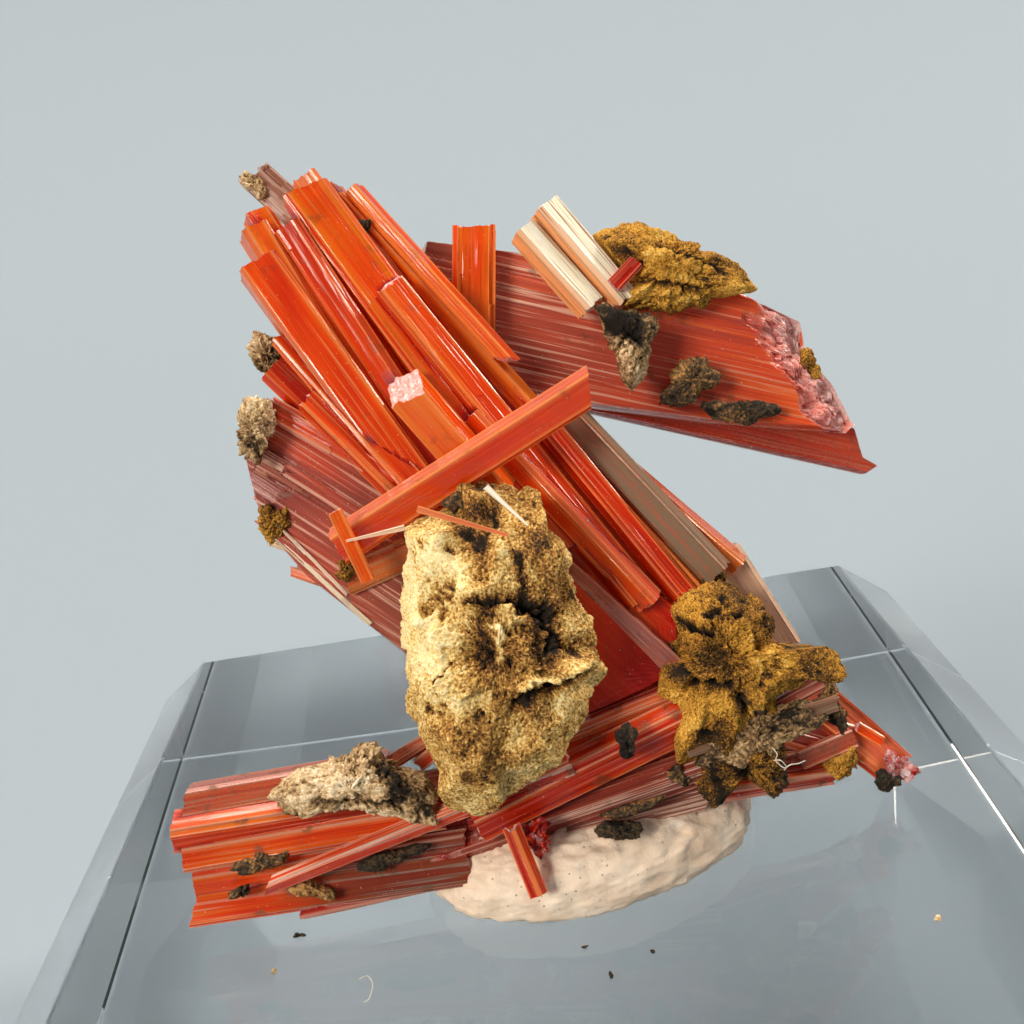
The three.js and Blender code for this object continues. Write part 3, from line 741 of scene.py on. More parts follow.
# %% Main spray
MAIN_SPRAY = [
    ((-2.9, -0.9, 30.9), (-6.3, 1.9, 38.6), 1.2, 1.5, dict(tone=0.62, turn=20, pale=0.5, pale_side=0,
     glint_lines=0.6)),
    ((-2.0, -2.0, 29.9), (-6.3, 1.3, 37.6), 1.6, 1.3, dict(tone=0.66, turn=14, pale=0.8, pale_side=0,
     glint_lines=0.45)),
    ((-2.1, -2.3, 30.3), (-5.9, 0.3, 35.5), 1.4, 0.9, dict(tone=0.6, turn=28, glint_lines=0.6, taper=0.7)),
    ((-2.4, -2.3, 30.0), (-5.3, -0.7, 33.6), 1.1, 0.9, dict(tone=0.6, turn=30, glint_lines=0.6, rough=0.15)),
    ((-2.6, -0.7, 30.4), (-6.1, 1.0, 34.6), 1.7, 1.2, dict(tone=0.3)),
    ((-1.5, 0.8, 34.5), (-4.6, 3.4, 39.8), 0.9, 0.9, dict(tone=0.9, pale=0.5, rough=0.07)),
    ((-2.4, -0.6, 31.2), (-6.2, 2.6, 39.0), 1.1, 1.6, dict(slant=0.2, tone=0.75, turn=18)),
    ((-1.4, -0.9, 30.8), (-5.2, 2.1, 38.5), 1.1, 1.3, dict(tone=0.5, turn=-8)),
    ((1.8, -1.7, 28.0), (-4.6, 2.8, 39.4), 1.7, 1.7, dict(slant=0.2, tone=0.8, turn=10, cut=0.2)),
    ((2.9, -1.1, 27.1), (-4.1, 3.5, 39.1), 1.5, 1.6, dict(slant=-0.2, tone=0.4, turn=-12, dust=0.25)),
    ((5.8, -2.1, 26.0), (-3.6, 3.2, 39.1), 0.9, 1.1, dict(slant=0.3, tone=0.9, turn=-28)),
    ((0.9, 0.5, 33.7), (-3.1, 3.1, 39.3), 0.7, 1.2, dict(foot_slant=0.8, tone=0.85, turn=-20)),
    ((3.8, -2.6, 26.3), (-2.5, 1.0, 36.4), 1.4, 1.3, dict(tone=0.6, turn=26, lean=-0.3, rough=0.09,
     cut=0.08)),
    ((0.0, -1.9, 30.1), (-2.3, -0.9, 33.6), 1.6, 1.3, dict(tone=0.75, lean=-0.9, turn=-24, rings=14,
     cut=0.04, rough=0.07)),
    ((4.1, -2.9, 26.3), (-0.4, -0.6, 32.4), 1.1, 1.2, dict(tone=0.6, turn=-30, pale=0.3, pale_side=180)),
    ((5.2, -2.5, 26.1), (1.3, -0.4, 32.3), 1.0, 1.2, dict(tone=0.4, turn=28)),
    ((6.4, -2.0, 26.5), (2.4, 0.1, 31.9), 1.2, 1.2, dict(tone=0.6, turn=-20, dust=1.2)),
    ((7.2, -1.4, 26.4), (2.1, 0.7, 32.0), 0.9, 1.3, dict(taper=0.8, tone=0.85, turn=-20, dust=0.2)),
    ((0.6, -0.6, 28.2), (-5.4, 3.4, 38.2), 2.0, 1.8, dict(tone=0.5)),
    ((5.0, -1.0, 25.8), (-2.4, 2.5, 36.0), 2.2, 1.8, dict(taper=0.7, tone=0.4)),
]
spray = grown_together("main_spray_crystals", prisms(MAIN_SPRAY, SPRAY_SEED))
finish_piece(spray, VIVID, "main_spray")

# %% [markdown]
# ## Single crystals
# The smaller crystals use the same surface with their own sizes. The bar is the cleanest of them, with
# plain flat faces and one wide facet along its upper edge. The two cream crystals carry a layer on the
# side that faces up, partly a coating and partly painted sheen and shade, and are orange on the other.

# %% Single crystals
NEEDLE = dict(relief=0.01, fine=0.04, rows=8, layers=0, rings=2, rough=0.02, foot_rough=0.02)
SINGLES = [
    ("crossing_bar", (-4.9, -3.1, 29.7), (3.1, -2.2, 33.1), 1.35, 1.2, VIVID, dict(slant=0.5, rough=0.01,
     relief=0.012, layers=1, tone=0.74, turn=21, cut=0.11, coarse=0.6, contrast=0.25, glint_lines=0.15, pale=0.5,
     pale_side=20)),
    ("weathered_crystal", (-4.6, 3.6, 38.2), (-6.3, 4.5, 40.1), 1.1, 0.8, STRIATED, dict(slant=0.3,
     relief=0.08, tone=0.5, dust=0.5, rough=0.2, glint_lines=1.2, pale=0.9, pale_side=None)),
    ("upright_stub", (-0.1, 2.0, 34.0), (0.5, 3.4, 37.5), 1.4, 0.9, VIVID, dict(relief=0.08, tone=0.8,
     rough=0.09)),
    ("pale_crystal_long", (4.9, 1.8, 34.7), (2.8, 2.8, 37.9), 1.25, 1.2, PALE, dict(turn=26, tone=0.84,
     pale=1.0, pale_side=0, glint_lines=0.9, contrast=0.12)),
    ("pale_crystal_short", (3.8, 1.6, 34.7), (2.0, 2.5, 37.3), 1.15, 1.1, PALE, dict(turn=26, tone=0.8,
     pale=1.0, pale_side=0, glint_lines=0.9, contrast=0.12)),
    ("bar_foot_crystal", (-2.9, -2.6, 29.0), (-4.9, -2.8, 28.5), 1.0, 0.6, VIVID, dict(tone=0.9, rough=0.08,
     dust=0.45, glint_lines=1.0, relief=0.06)),
    ("tablet_crystal", (-4.1, -4.1, 28.9), (-4.7, -3.7, 31.0), 0.4, 0.3, VIVID, dict(NEEDLE, tone=0.85)),
    ("peach_crystal", (8.4, -1.7, 23.4), (6.9, -0.7, 26.6), 1.1, 1.0, PEACH, dict(tone=0.35, pale=0.9,
     pale_side=None, glint_lines=0.3)),
    ("brown_dusty_crystal", (4.4, -4.9, 22.2), (9.3, -4.2, 22.6), 0.5, 0.5, STRIATED, dict(tone=0.4,
     dust=0.9, relief=0.06, rough=0.12, pale=0.6, pale_side=None)),
    ("right_end_crystal", (8.2, -2.2, 22.6), (11.4, -3.2, 19.2), 1.9, 1.5, VIVID, dict(taper=0.8, rough=0.2,
     tone=0.5, pale=0.4, turn=-15, glint_lines=0.6, relief=0.07, rings=14)),
    ("putty_crystal", (-1.1, -6.1, 21.2), (-0.6, -7.0, 19.4), 0.6, 0.6, VIVID, dict(turn=36, relief=0.03,
     tone=0.45, rough=0.02)),
    ("needle_1", (-2.8, -4.0, 30.3), (-4.5, -4.1, 30.2), 0.17, 0.17, PEACH, dict(NEEDLE, tone=0.4, pale=0.8,
     taper=0.4)),
    ("needle_2", (-2.3, -4.3, 30.9), (0.1, -4.8, 29.9), 0.2, 0.2, VIVID, dict(NEEDLE, tone=1.0, taper=0.5,
     glint_lines=1.6, pale=0.5, pale_side=None)),
    ("needle_3", (-0.3, -3.9, 31.1), (0.7, -4.5, 30.0), 0.2, 0.2, PALE, dict(NEEDLE, tone=0.9, taper=0.3)),
]
for number, (node, foot, tip, wide, deep, material, extras) in enumerate(SINGLES):
    single = add_surface(f"{node}_looks", prism(foot, tip, wide, deep, SINGLE_SEED + number, **extras))
    finish_piece(single, material, node)

# %% [markdown]
# ## Flat crystals
# Three crystals are flat: wide, thin and cut to an irregular outline. Their grid runs along the crystal
# and round a flat section, which reaches from the outline's low edge to its high edge at each
# station. The striations are read at the absolute distance across, so a slanted end cuts them off
# instead of squeezing them together. A broken end slopes: the front is worn back further than the back
# is, by the distance to the end of the outline, and the slope is covered with chips.

# %% Flat crystal surface
DENSE_END = 3.0
END_JAG = 0.1


def outline_edges(outline, stations):
    """Lowest and highest distance across, at each station along, of a closed outline."""
    low, high = np.full(len(stations), np.inf), np.full(len(stations), -np.inf)
    for (a0, c0), (a1, c1) in zip(outline, np.roll(outline, -1, axis=0)):
        part = (stations - a0) / (a1 - a0 if a1 != a0 else 1e-9)
        across = np.where((part >= 0) & (part <= 1), c0 + part * (c1 - c0), np.nan)
        low, high = np.fmin(low, across), np.fmax(high, across)
    return low, high


edges = outline_edges(np.array([(0.0, 0.0), (2.0, 0.0), (1.0, 1.0)]), np.array([0.5]))
print("a triangle's edges a quarter of the way along:", [float(edge[0]) for edge in edges])

def flat_crystal(foot, tip, outline, thick, seed, relief=0.05, across_count=70, spacing=0.2, slope=0.0,
                 break_end=None, tone=0.5, tone_slope=0.0, contrast=0.35, pale=0.0, dust=0.0, glint_lines=0.25,
                 glint_lines_slope=0.0):
    """A flat crystal: for each station along, a flat section from the outline's low to its high edge.
    point = foot + axes * (across, half thickness * side + skin(across) - worn(distance to the end),
    along), where worn is only on the front and only near a broken end."""
    rng = np.random.default_rng(seed)
    foot, tip, outline = np.asarray(foot, float), np.asarray(tip, float), np.asarray(outline, float)
    first, last = outline[:, 0].min() + 0.01, outline[:, 0].max() - 0.01
    dense = last - DENSE_END
    stations = np.concatenate([np.arange(first, dense, spacing),
                               np.arange(max(first, dense), last, 0.4 * spacing), [last]])
    low, high = outline_edges(outline, stations)
    middle, half = (low + high) / 2, np.maximum((high - low) / 2, 0.03)
    sweep = np.linspace(-1, 1, across_count)
    ring = np.concatenate([sweep, sweep[::-1]])
    side = np.repeat([1.0, -1.0], across_count)
    across = middle[:, None] + half[:, None] * ring
    widest = max(np.abs(low).max(), np.abs(high).max()) + 0.2
    places = np.linspace(0, 1, int(2 * widest / 0.05))
    profiles = [striated(places, 2 * widest, rng, 0.35, relief, 0.02) for _ in range(2)]
    known = places * 2 * widest - widest
    skin, shade = (np.where(side > 0, *[np.interp(across, known, profile[part]) for profile in profiles])
                   for part in (0, 1))
    to_end = np.clip(np.minimum(stations - first, last - stations) / 0.15, 0, 1)[:, None]
    wall = np.minimum(1, (1 - np.abs(ring)) * half[:, None] / 0.12 + 0.3)
    out = side * (thick / 2 * wall * (0.35 + 0.65 * to_end) + skin)
    flat_places = np.stack([across, np.repeat(stations[:, None], across.shape[1], 1)], -1).reshape(-1, 2)
    worn = np.zeros_like(out)
    if break_end is not None:
        ends_at = np.interp(across, *np.asarray(break_end, float).T)
        wander = 0.3 * ripples(flat_places, 1.3, seed + 3).reshape(out.shape)
        worn = np.clip(1 - (ends_at - stations[:, None] + wander) / slope, 0, 1)
        near, chip = chips(flat_places * [1, 0.8], 0.2, seed + 7)
        grit = 0.03 * ripples(flat_places, 0.12, seed + 8)
        rough_skin = (0.15 * chip - 0.12 * near).reshape(out.shape) + grit.reshape(out.shape)
        lowered = -worn * (thick - 0.25) + rough_skin * np.minimum(1, worn * 6)
        out = np.where(side > 0, np.maximum(out + lowered, -thick / 2 * wall + 0.05), out)
    jag = END_JAG * ripples(np.stack([across, out], -1).reshape(-1, 2), 0.4, seed + 4).reshape(out.shape)
    along = stations[:, None] + (1 - to_end) * jag
    local = np.stack([across, out, along], -1).reshape(-1, 3)
    rows, count = out.shape
    local = np.concatenate([local, local[:count].mean(0)[None], local[-count:].mean(0)[None]])
    pole = rows * count
    reach = (local[:, 2] - first) / (last - first)
    cloud = 0.12 * ripples(local * ALONG_GRAIN, 1.5, seed + 5)
    return {
        "points": foot + local @ crystal_axes(foot, tip),
        "quads": wrapped_rows(rows, count)[:, ::-1],
        "triangles": np.concatenate([fan(0, count, pole), fan(pole - count, count, pole + 1, True)]),
        "marks": {
            "grain": local + rng.uniform(-40, 40, 3),
            # the rim mark and the glint-lines mark carry painted highlights
            "edge": np.append(np.tile(np.abs(ring) > 0.99, rows), [0, 0]),
            "fresh": np.append(np.maximum(np.where(side > 0, worn, 0), 1 - to_end), [1, 1]),
            "tone": tone + tone_slope * reach + contrast * np.append(shade, [0, 0]) + cloud,
            "dust": np.full(len(local), dust),
            "glint_lines": np.clip(glint_lines + glint_lines_slope * reach, 0, 2),
            # a pale layer, strongest at the foot: partly a coating, partly painted sheen and shade
            "pale": pale * np.clip(1 - np.maximum(reach, 0), 0, 1) ** 1.5,
        },
    }

# %% Upper plate
UPPER_PLATE = [(-2.0, 1.7), (1.2, 2.0), (8.7, 2.3), (9.6, 2.2), (10.9, 1.9), (11.3, 0.9), (12.4, 0.1),
               (13.4, -1.1), (13.2, -1.4), (8.6, -2.1), (4.3, -2.5), (-0.7, -2.8), (-1.9, -0.4)]
PLATE_END = [(-1.6, 14.5), (-1.3, 13.4), (0.1, 12.4), (0.9, 11.3), (1.9, 10.9), (2.3, 10.4)]
plate = flat_crystal((0.0, 3.7, 35.0), (11.0, 2.0, 31.0), UPPER_PLATE, 1.6, 61, across_count=130, slope=1.9,
                     break_end=PLATE_END, tone=0.45, tone_slope=0.5, pale=0.8, glint_lines=1.2, glint_lines_slope=-1.1)
finish_piece(add_surface("upper_plate_looks", plate), STRIATED, "upper_plate")

# %% Red taper
RED_TAPER = [(-1.5, 1.5), (10.0, 1.4), (10.5, 0.5), (11.2, 0.3), (10.8, -0.1), (0.7, -0.2), (-1.5, 0.1)]
taper = flat_crystal((2.5, 3.6, 31.3), (12.4, 2.2, 27.6), RED_TAPER, 1.2, 62, tone=0.2, tone_slope=0.35,
                     dust=0.35)
finish_piece(add_surface("red_taper_looks", taper), DARK, "red_taper")

# %% Rear crystal
REAR_RED = [(4.6, 0.0), (4.3, -0.4), (0.8, -1.0), (-0.6, 0.4), (-0.3, 1.4), (0.6, 3.4), (4.2, 1.6)]
rear_body = flat_crystal((4.7, -2.6, 24.6), (1.8, -1.1, 27.7), REAR_RED, 1.6, 63, relief=0.03, tone=0.5,
                         tone_slope=0.4, contrast=0.4, glint_lines=0.05)
rear_blade = prism((4.9, -3.7, 23.9), (1.6, -2.6, 28.0), 1.0, 0.5, 64, taper=0.5, tone=0.5, pale=0.9,
                   pale_side=None, turn=-12, glint_lines=0.8)
finish_piece(grown_together("rear_red_crystals", [rear_body, rear_blade]), DARK, "rear_red_crystal")

# %% Left fan
FAN_OUTLINE = [(6.4, -1.0), (1.9, -0.8), (-1.1, -0.4), (-1.4, 3.2), (2.7, 2.8), (4.7, 2.2), (6.3, 0.7),
               (6.7, -0.3)]
FAN_PRISMS = [
    ((-2.9, -1.4, 30.9), (-6.5, 0.2, 33.3), 0.7, 1.6, dict(tone=0.85)),
    ((-2.7, -1.9, 28.6), (-7.0, -0.4, 31.8), 1.0, 1.6, dict(tone=0.45, pale=0.9, glint_lines=1.3)),
    ((-2.6, -2.4, 27.2), (-6.9, -0.7, 30.4), 1.1, 1.5, dict(tone=0.5, pale=0.7, glint_lines=2.0, relief=0.06)),
    ((-2.9, -2.8, 26.2), (-6.2, -1.4, 28.8), 0.7, 1.1, dict(tone=0.75, pale=0.3, glint_lines=1.3)),
    ((-3.3, -3.0, 25.9), (-7.3, -1.4, 30.3), 0.45, 0.5, dict(tone=0.7, glint_lines=3.0, turn=15, rough=0.2)),
    ((-3.4, -2.8, 26.9), (-7.3, -1.2, 31.1), 0.4, 0.5, dict(tone=0.5, glint_lines=1.3, turn=-10, rough=0.2)),
]
fan_plate = flat_crystal((-2.3, -2.3, 29.0), (-7.0, -0.4, 32.6), FAN_OUTLINE, 0.9, 65, across_count=130,
                         spacing=0.15, tone=0.35, pale=0.9, glint_lines=0.7)
left_fan = grown_together("left_fan_crystals", [fan_plate, *prisms(FAN_PRISMS, FAN_SEED, rough=0.14)])
finish_piece(left_fan, STRIATED, "left_fan")

# %% [markdown]
# ## Lumps of matrix
# A lump starts from its outline, seen from the front, and swells forwards and backwards from it like a
# cushion. Limonite breaks into blunt planes, so the cushion is then cut by planes that each rule
# round one of many scattered seeds. Creased noise and chips roughen it, and its low creases are darkened
# as painted shade. Cracks, hollows and ridges are strokes: straight lines in the front view, each with a
# width, a push outwards, a darkness that paints shade into cracks and hollows, and a tint that also
# paints light on ridges and shade below them.

# %% Lump surface
FRONT_AXES = np.array([[1.0, 0.0, 0.0], [0.0, 0.34, 0.94], [0.0, -0.94, 0.34]])
GOLDEN_TURN = 2.39996


def outline_reach(outline, angles):
    """Distance from the middle to a closed outline in each direction: ray and side meet where
    middle + reach * ray = start + part * side, and the part has to be from 0 to 1."""
    def cross(a, b):
        return a[..., 0] * b[..., 1] - a[..., 1] * b[..., 0]
    rays = np.stack([np.cos(angles), np.sin(angles)], 1)[:, None]
    starts = np.asarray(outline, float)[None]
    sides = np.roll(starts, -1, axis=1) - starts
    both = cross(rays, sides)
    reach, part = cross(starts, sides) / both, cross(starts, rays) / both
    return np.where((reach > 0) & (part >= 0) & (part <= 1), reach, 0.05).max(1)


def planed(points, normals, rng, count, tilt, sharp=260.0):
    """Cuts a skin by planes. Every seed has a plane through its own point, tilted at random. In each
    direction the planes are met at point . normal / direction . normal, and the nearest seed wins."""
    length = np.linalg.norm(points, axis=1)
    directions = points / length[:, None]
    turn = np.arange(count) * GOLDEN_TURN
    height = 1 - 2 * (np.arange(count) + 0.5) / count
    round_it = np.sqrt(1 - height**2)
    spread = np.stack([round_it * np.cos(turn), round_it * np.sin(turn), height], 1)
    seeds = (directions @ (spread + rng.normal(0, 0.12, spread.shape)).T).argmax(0)
    facing = unit_rows(normals[seeds] + rng.normal(0, tilt, (count, 3)))
    close = directions @ directions[seeds].T
    weights = np.exp(sharp * (close - close.max(1, keepdims=True)))
    met = (points[seeds] * facing).sum(1) / np.maximum(directions @ facing.T, 0.2)
    met = np.clip(met, 0.82 * length[:, None], 1.12 * length[:, None])
    return directions * ((weights * met).sum(1) / weights.sum(1))[:, None]


def stroke_weights(points, stroke, seed):
    """1 on the line from (x0, z0) to (x1, z1), falling like a bell to 0 over its width. The place is
    shaken by noise first, so that the borders are irregular."""
    x0, z0, x1, z1, width = stroke[:5]
    size = 1.2 * width + 0.25
    shake = np.stack([ripples(points, size, seed) + 0.5 * ripples(points, 0.4 * size, seed + 7),
                      ripples(points, size, seed + 1)], 1)
    shaken = points[:, :2] + (0.25 * width + 0.04) * shake
    line = np.array([x1 - x0, z1 - z0])
    part = np.clip((shaken - [x0, z0]) @ line / max(line @ line, 1e-9), 0, 1)
    apart = np.linalg.norm(shaken - [x0, z0] - part[:, None] * line, axis=1)
    return np.exp(-((apart / width) ** 2))


def lump(middle, outline, seed, front=1.0, behind=1.0, rough=0.08, size=1.1, grain=0.03, chipping=0.06,
         columns=160, rows=80, planes=45, tilt=0.2, tint=0.5, strokes=()):
    """A rough cushion. cushion(turn, rise) = (reach(turn) * cos(rise)^0.7 * (cos, sin)(turn), depth *
    sin(rise)), cut by planes, then pushed along its directions by noise and strokes."""
    rng = np.random.default_rng(seed)
    turn = np.linspace(0, 2 * np.pi, columns, endpoint=False)
    rise = np.linspace(-np.pi / 2, np.pi / 2, rows + 2)[1:-1, None]
    reach = outline_reach(outline, turn) * np.cos(rise) ** 0.7
    depth = np.where(rise > 0, front, behind) * np.sin(rise) * np.ones(columns)
    grid = np.stack([reach * np.cos(turn), reach * np.sin(turn), depth], -1)
    normals = np.cross(np.roll(grid, -1, 1) - np.roll(grid, 1, 1), np.gradient(grid, axis=0)).reshape(-1, 3)
    cushion = np.concatenate([grid.reshape(-1, 3), [[0, 0, -behind], [0, 0, front]]])
    normals = unit_rows(np.concatenate([normals, [[0, 0, -1], [0, 0, 1]]]))
    smooth = planed(cushion, normals, rng, planes, tilt)
    coarse = folded(smooth, size, seed)
    near, chip = chips(smooth, size * 0.3, seed + 21)
    fine = folded(smooth, 0.3, seed + 31, 3, 0.7)
    push = rough * 0.5 * coarse + chipping * (0.6 * chip - 0.8 * near) + grain * fine
    # painted shade: low places of the creased noise are darkened as hollows
    deep = np.clip(-0.7 - 0.5 * coarse, 0, 0.5) + np.clip(-0.3 - 0.25 * fine, 0, 0.3)
    pale = tint + 0.16 * ripples(smooth, 2.2 * size, seed + 61) + 0.07 * chip
    facing = np.clip(unit_rows(smooth)[:, 2] * 2.5, 0, 1)
    # strokes add painted shade in cracks through deep, and their tint paints light on ridges and shade
    # below them
    for number, stroke in enumerate(strokes):
        weight = facing * stroke_weights(smooth, stroke, seed + 100 + 2 * number)
        push, deep, pale = push + stroke[5] * weight, deep + stroke[6] * weight, pale + stroke[7] * weight
    moved = unit_rows(smooth) * np.maximum(np.linalg.norm(smooth, axis=1) + push, 0.04)[:, None]
    pole = rows * columns
    triangles = np.concatenate([fan(0, columns, pole, True), fan((rows - 1) * columns, columns, pole + 1)])
    return {"points": np.array(middle) + moved @ FRONT_AXES, "quads": wrapped_rows(rows, columns),
            "triangles": triangles, "marks": {"deep": np.clip(deep, 0, 1.2), "tint": pale}}


square = [(-1, -1), (1, -1), (1, 1), (-1, 1)]
print("reach of a square to its side and corner:", outline_reach(square, np.radians([10, 45])).round(3))

# %% Lumps
LUMPS = [
    ("right_matrix", (6.0, -3.6, 24.5), [(-1.1, 1.8), (-0.6, 2.1), (0.2, 2.1), (0.6, 1.9), (1.1, 1.5),
     (1.6, 1.1), (1.7, 0.7), (1.4, 0.3), (2.1, -0.1), (3.0, -0.2), (3.4, -0.1), (3.6, -0.6), (3.6, -1.1),
     (3.1, -1.3), (2.4, -1.2), (1.5, -1.6), (1.3, -2.0), (0.5, -2.4), (-0.1, -2.9), (-0.9, -3.1),
     (-1.6, -2.9), (-1.8, -2.1), (-1.5, -1.3), (-2.0, -0.5), (-1.8, 0.0), (-1.2, -0.1), (-1.2, 0.6),
     (-1.2, 1.3)], OCHRE, dict(front=1.2, behind=1.0, columns=300, rows=150, tint=0.5, planes=70,
     strokes=[(-0.7, 2.2, -0.3, 2.3, 0.12, -0.2, 0.8, 0), (-1.2, 1.4, -0.9, 1.1, 0.09, -0.35, 0.9, 0),
     (-0.9, 1.1, -0.4, 0.9, 0.09, -0.35, 0.9, 0), (-0.5, 1.4, -0.1, 1.5, 0.09, -0.2, 0.7, 0),
     (0.4, 1.3, 0.6, 1.3, 0.09, -0.2, 0.7, 0), (-2.0, 0.0, -1.5, -0.2, 0.18, -0.4, 0.8, 0),
     (-1.0, -0.6, 0.0, -0.9, 0.10, -0.4, 0.9, 0), (0.2, -1.3, 0.3, -1.8, 0.15, -0.4, 0.9, 0),
     (-1.2, -2.2, -0.8, -2.2, 0.12, -0.4, 0.9, 0), (1.2, -0.3, 1.8, 0.0, 0.36, 0, 0, 0.2),
     (1.0, -1.1, 1.6, -0.4, 0.24, 0, 0, 0.22), (-1.0, -1.5, -0.2, -1.2, 0.42, 0, 0, 0.12),
     (-1.5, -2.0, -1.2, -1.8, 0.27, 0, 0, 0.2), (0.5, 0.5, 0.9, 0.0, 0.36, -0.05, 0.05, -0.1),
     (-0.1, 0.0, 0.3, -0.3, 0.42, -0.03, 0.05, -0.12)])),
    ("plate_matrix", (6.5, 2.2, 35.4), [(-2.1, 1.3), (-1.4, 1.5), (-0.8, 1.7), (-0.4, 1.5), (0.0, 1.2),
     (0.8, 0.7), (1.7, 0.1), (2.1, -0.3), (2.4, -0.9), (2.0, -1.1), (1.3, -1.0), (1.0, -1.2), (-0.3, -1.2),
     (-1.1, -1.1), (-1.7, -1.0), (-1.4, -0.7), (-1.2, -0.4), (-1.6, 0.2), (-1.9, 0.8)], OCHRE,
     dict(front=0.8, behind=0.8, columns=260, rows=120, tint=0.62,
     strokes=[(-1.3, -0.5, 0.7, -1.1, 0.13, 0.15, -0.05, 0.1), (-1.1, -0.3, 0.8, -0.9, 0.09, -0.15, 0.5, 0),
     (-0.6, 0.5, 0.9, -0.2, 0.19, 0.1, 0, 0.15), (-1.9, 0.8, -1.3, 0.4, 0.19, -0.1, 0.3, -0.1),
     (-0.3, 0.7, 1.8, -0.5, 0.06, -0.1, 0.5, 0), (-1.2, -1.0, 0.1, -1.3, 0.16, 0.05, 0, 0.12)])),
    ("cavity_matrix", (4.8, 0.9, 33.6), [(-0.8, 1.1), (-0.4, 1.2), (0.0, 1.0), (0.8, 0.6), (0.9, 0.2),
     (0.6, -0.3), (0.4, -1.0), (-0.1, -1.5), (-0.4, -1.0), (-0.5, -0.2), (-0.7, 0.3)], BEIGE,
     dict(front=0.7, behind=0.6, tint=0.3, strokes=[(-0.7, 0.6, 0.3, 0.2, 0.34, -0.35, 0.8, -0.2),
     (-0.1, -0.2, 0.0, -1.1, 0.22, 0, 0, 0.2)])),
    ("bundle_matrix", (-5.6, -5.2, 22.9), [(-2.4, 0.0), (-2.0, 0.4), (-1.5, 0.6), (-0.9, 0.7), (0.1, 1.0),
     (0.7, 1.1), (1.1, 0.9), (1.1, 0.6), (1.5, 0.2), (1.9, 0.0), (2.1, -0.4), (2.3, -1.1), (2.1, -1.4),
     (1.6, -1.3), (1.1, -1.0), (0.6, -0.9), (-0.2, -0.6), (-0.9, -0.6), (-1.7, -0.7), (-2.2, -0.3)], BEIGE,
     dict(front=0.6, behind=0.8, columns=300, rows=120, tint=0.6, rough=0.12, planes=60, tilt=0.14,
     strokes=[(1.1, 0.3, 2.1, -0.9, 0.35, 0, 0.35, -0.3), (0.2, 0.6, 1.2, 0.6, 0.23, 0.05, 0.1, -0.15),
     (-1.4, 0.2, 0.4, 0.2, 0.35, 0.05, 0, 0.2), (-1.2, -0.2, 1.1, -0.6, 0.12, -0.2, 0.5, 0)])),
    ("grey_lump", (-6.6, 1.6, 34.7), [(-0.6, 0.4), (-0.3, 0.8), (0.3, 0.6), (0.7, 0.1), (0.6, -0.5),
     (0.2, -0.7), (-0.3, -0.4), (-0.6, 0.0)], BEIGE, dict(front=0.6, behind=0.6, tint=0.45)),
    ("porous_lump", (-6.9, -1.2, 33.1), [(-0.2, 0.8), (0.3, 0.9), (0.5, 0.8), (0.5, 0.1), (0.2, -0.5),
     (-0.1, -1.0), (-0.5, -0.7), (-0.5, -0.1), (-0.4, 0.4)], BEIGE, dict(front=0.6, behind=0.6, tint=0.5,
     rough=0.2)),
    ("hanging_matrix", (6.2, -4.9, 21.3), [(-1.3, 0.5), (-0.9, 0.8), (-0.2, 0.8), (0.6, 0.7), (1.2, 0.4),
     (1.2, -0.1), (1.1, -0.7), (0.8, -1.1), (0.4, -0.8), (0.1, -0.4), (-0.3, -0.2), (-0.7, -0.9),
     (-1.1, -1.0), (-1.3, -0.6), (-1.4, 0.0)], OCHRE, dict(front=0.6, behind=0.9, tint=0.32, rough=0.16,
     strokes=[(-0.4, 0.3, -0.2, -0.2, 0.24, -0.5, 0.9, 0), (-1.1, 0.4, -0.9, -0.7, 0.18, 0, 0.3, -0.2),
     (0.2, 0.2, 0.7, -0.7, 0.3, 0, 0, 0.08)])),
    ("end_matrix", (9.4, -3.6, 20.0), [(-0.5, 0.2), (0.1, 0.4), (0.6, 0.6), (0.6, 0.0), (0.3, -0.4),
     (-0.1, -0.5), (-0.4, -0.3)], OCHRE, dict(front=0.6, behind=0.6, tint=0.55)),
    ("black_crumb", (2.1, -5.9, 20.4), [(-0.7, 0.1), (-0.4, 0.3), (0.0, 0.2), (0.6, 0.1), (0.7, -0.1),
     (0.4, -0.3), (-0.2, -0.2), (-0.6, -0.1)], BLACK, dict(front=0.35, behind=0.5)),
]
for number, (node, middle, outline, material, extras) in enumerate(LUMPS):
    surface = lump(middle, outline, LUMP_SEED + LUMP_SEED_STEP * number, **extras)
    finish_piece(add_surface(f"{node}_looks", surface, smooth=True), material, node)
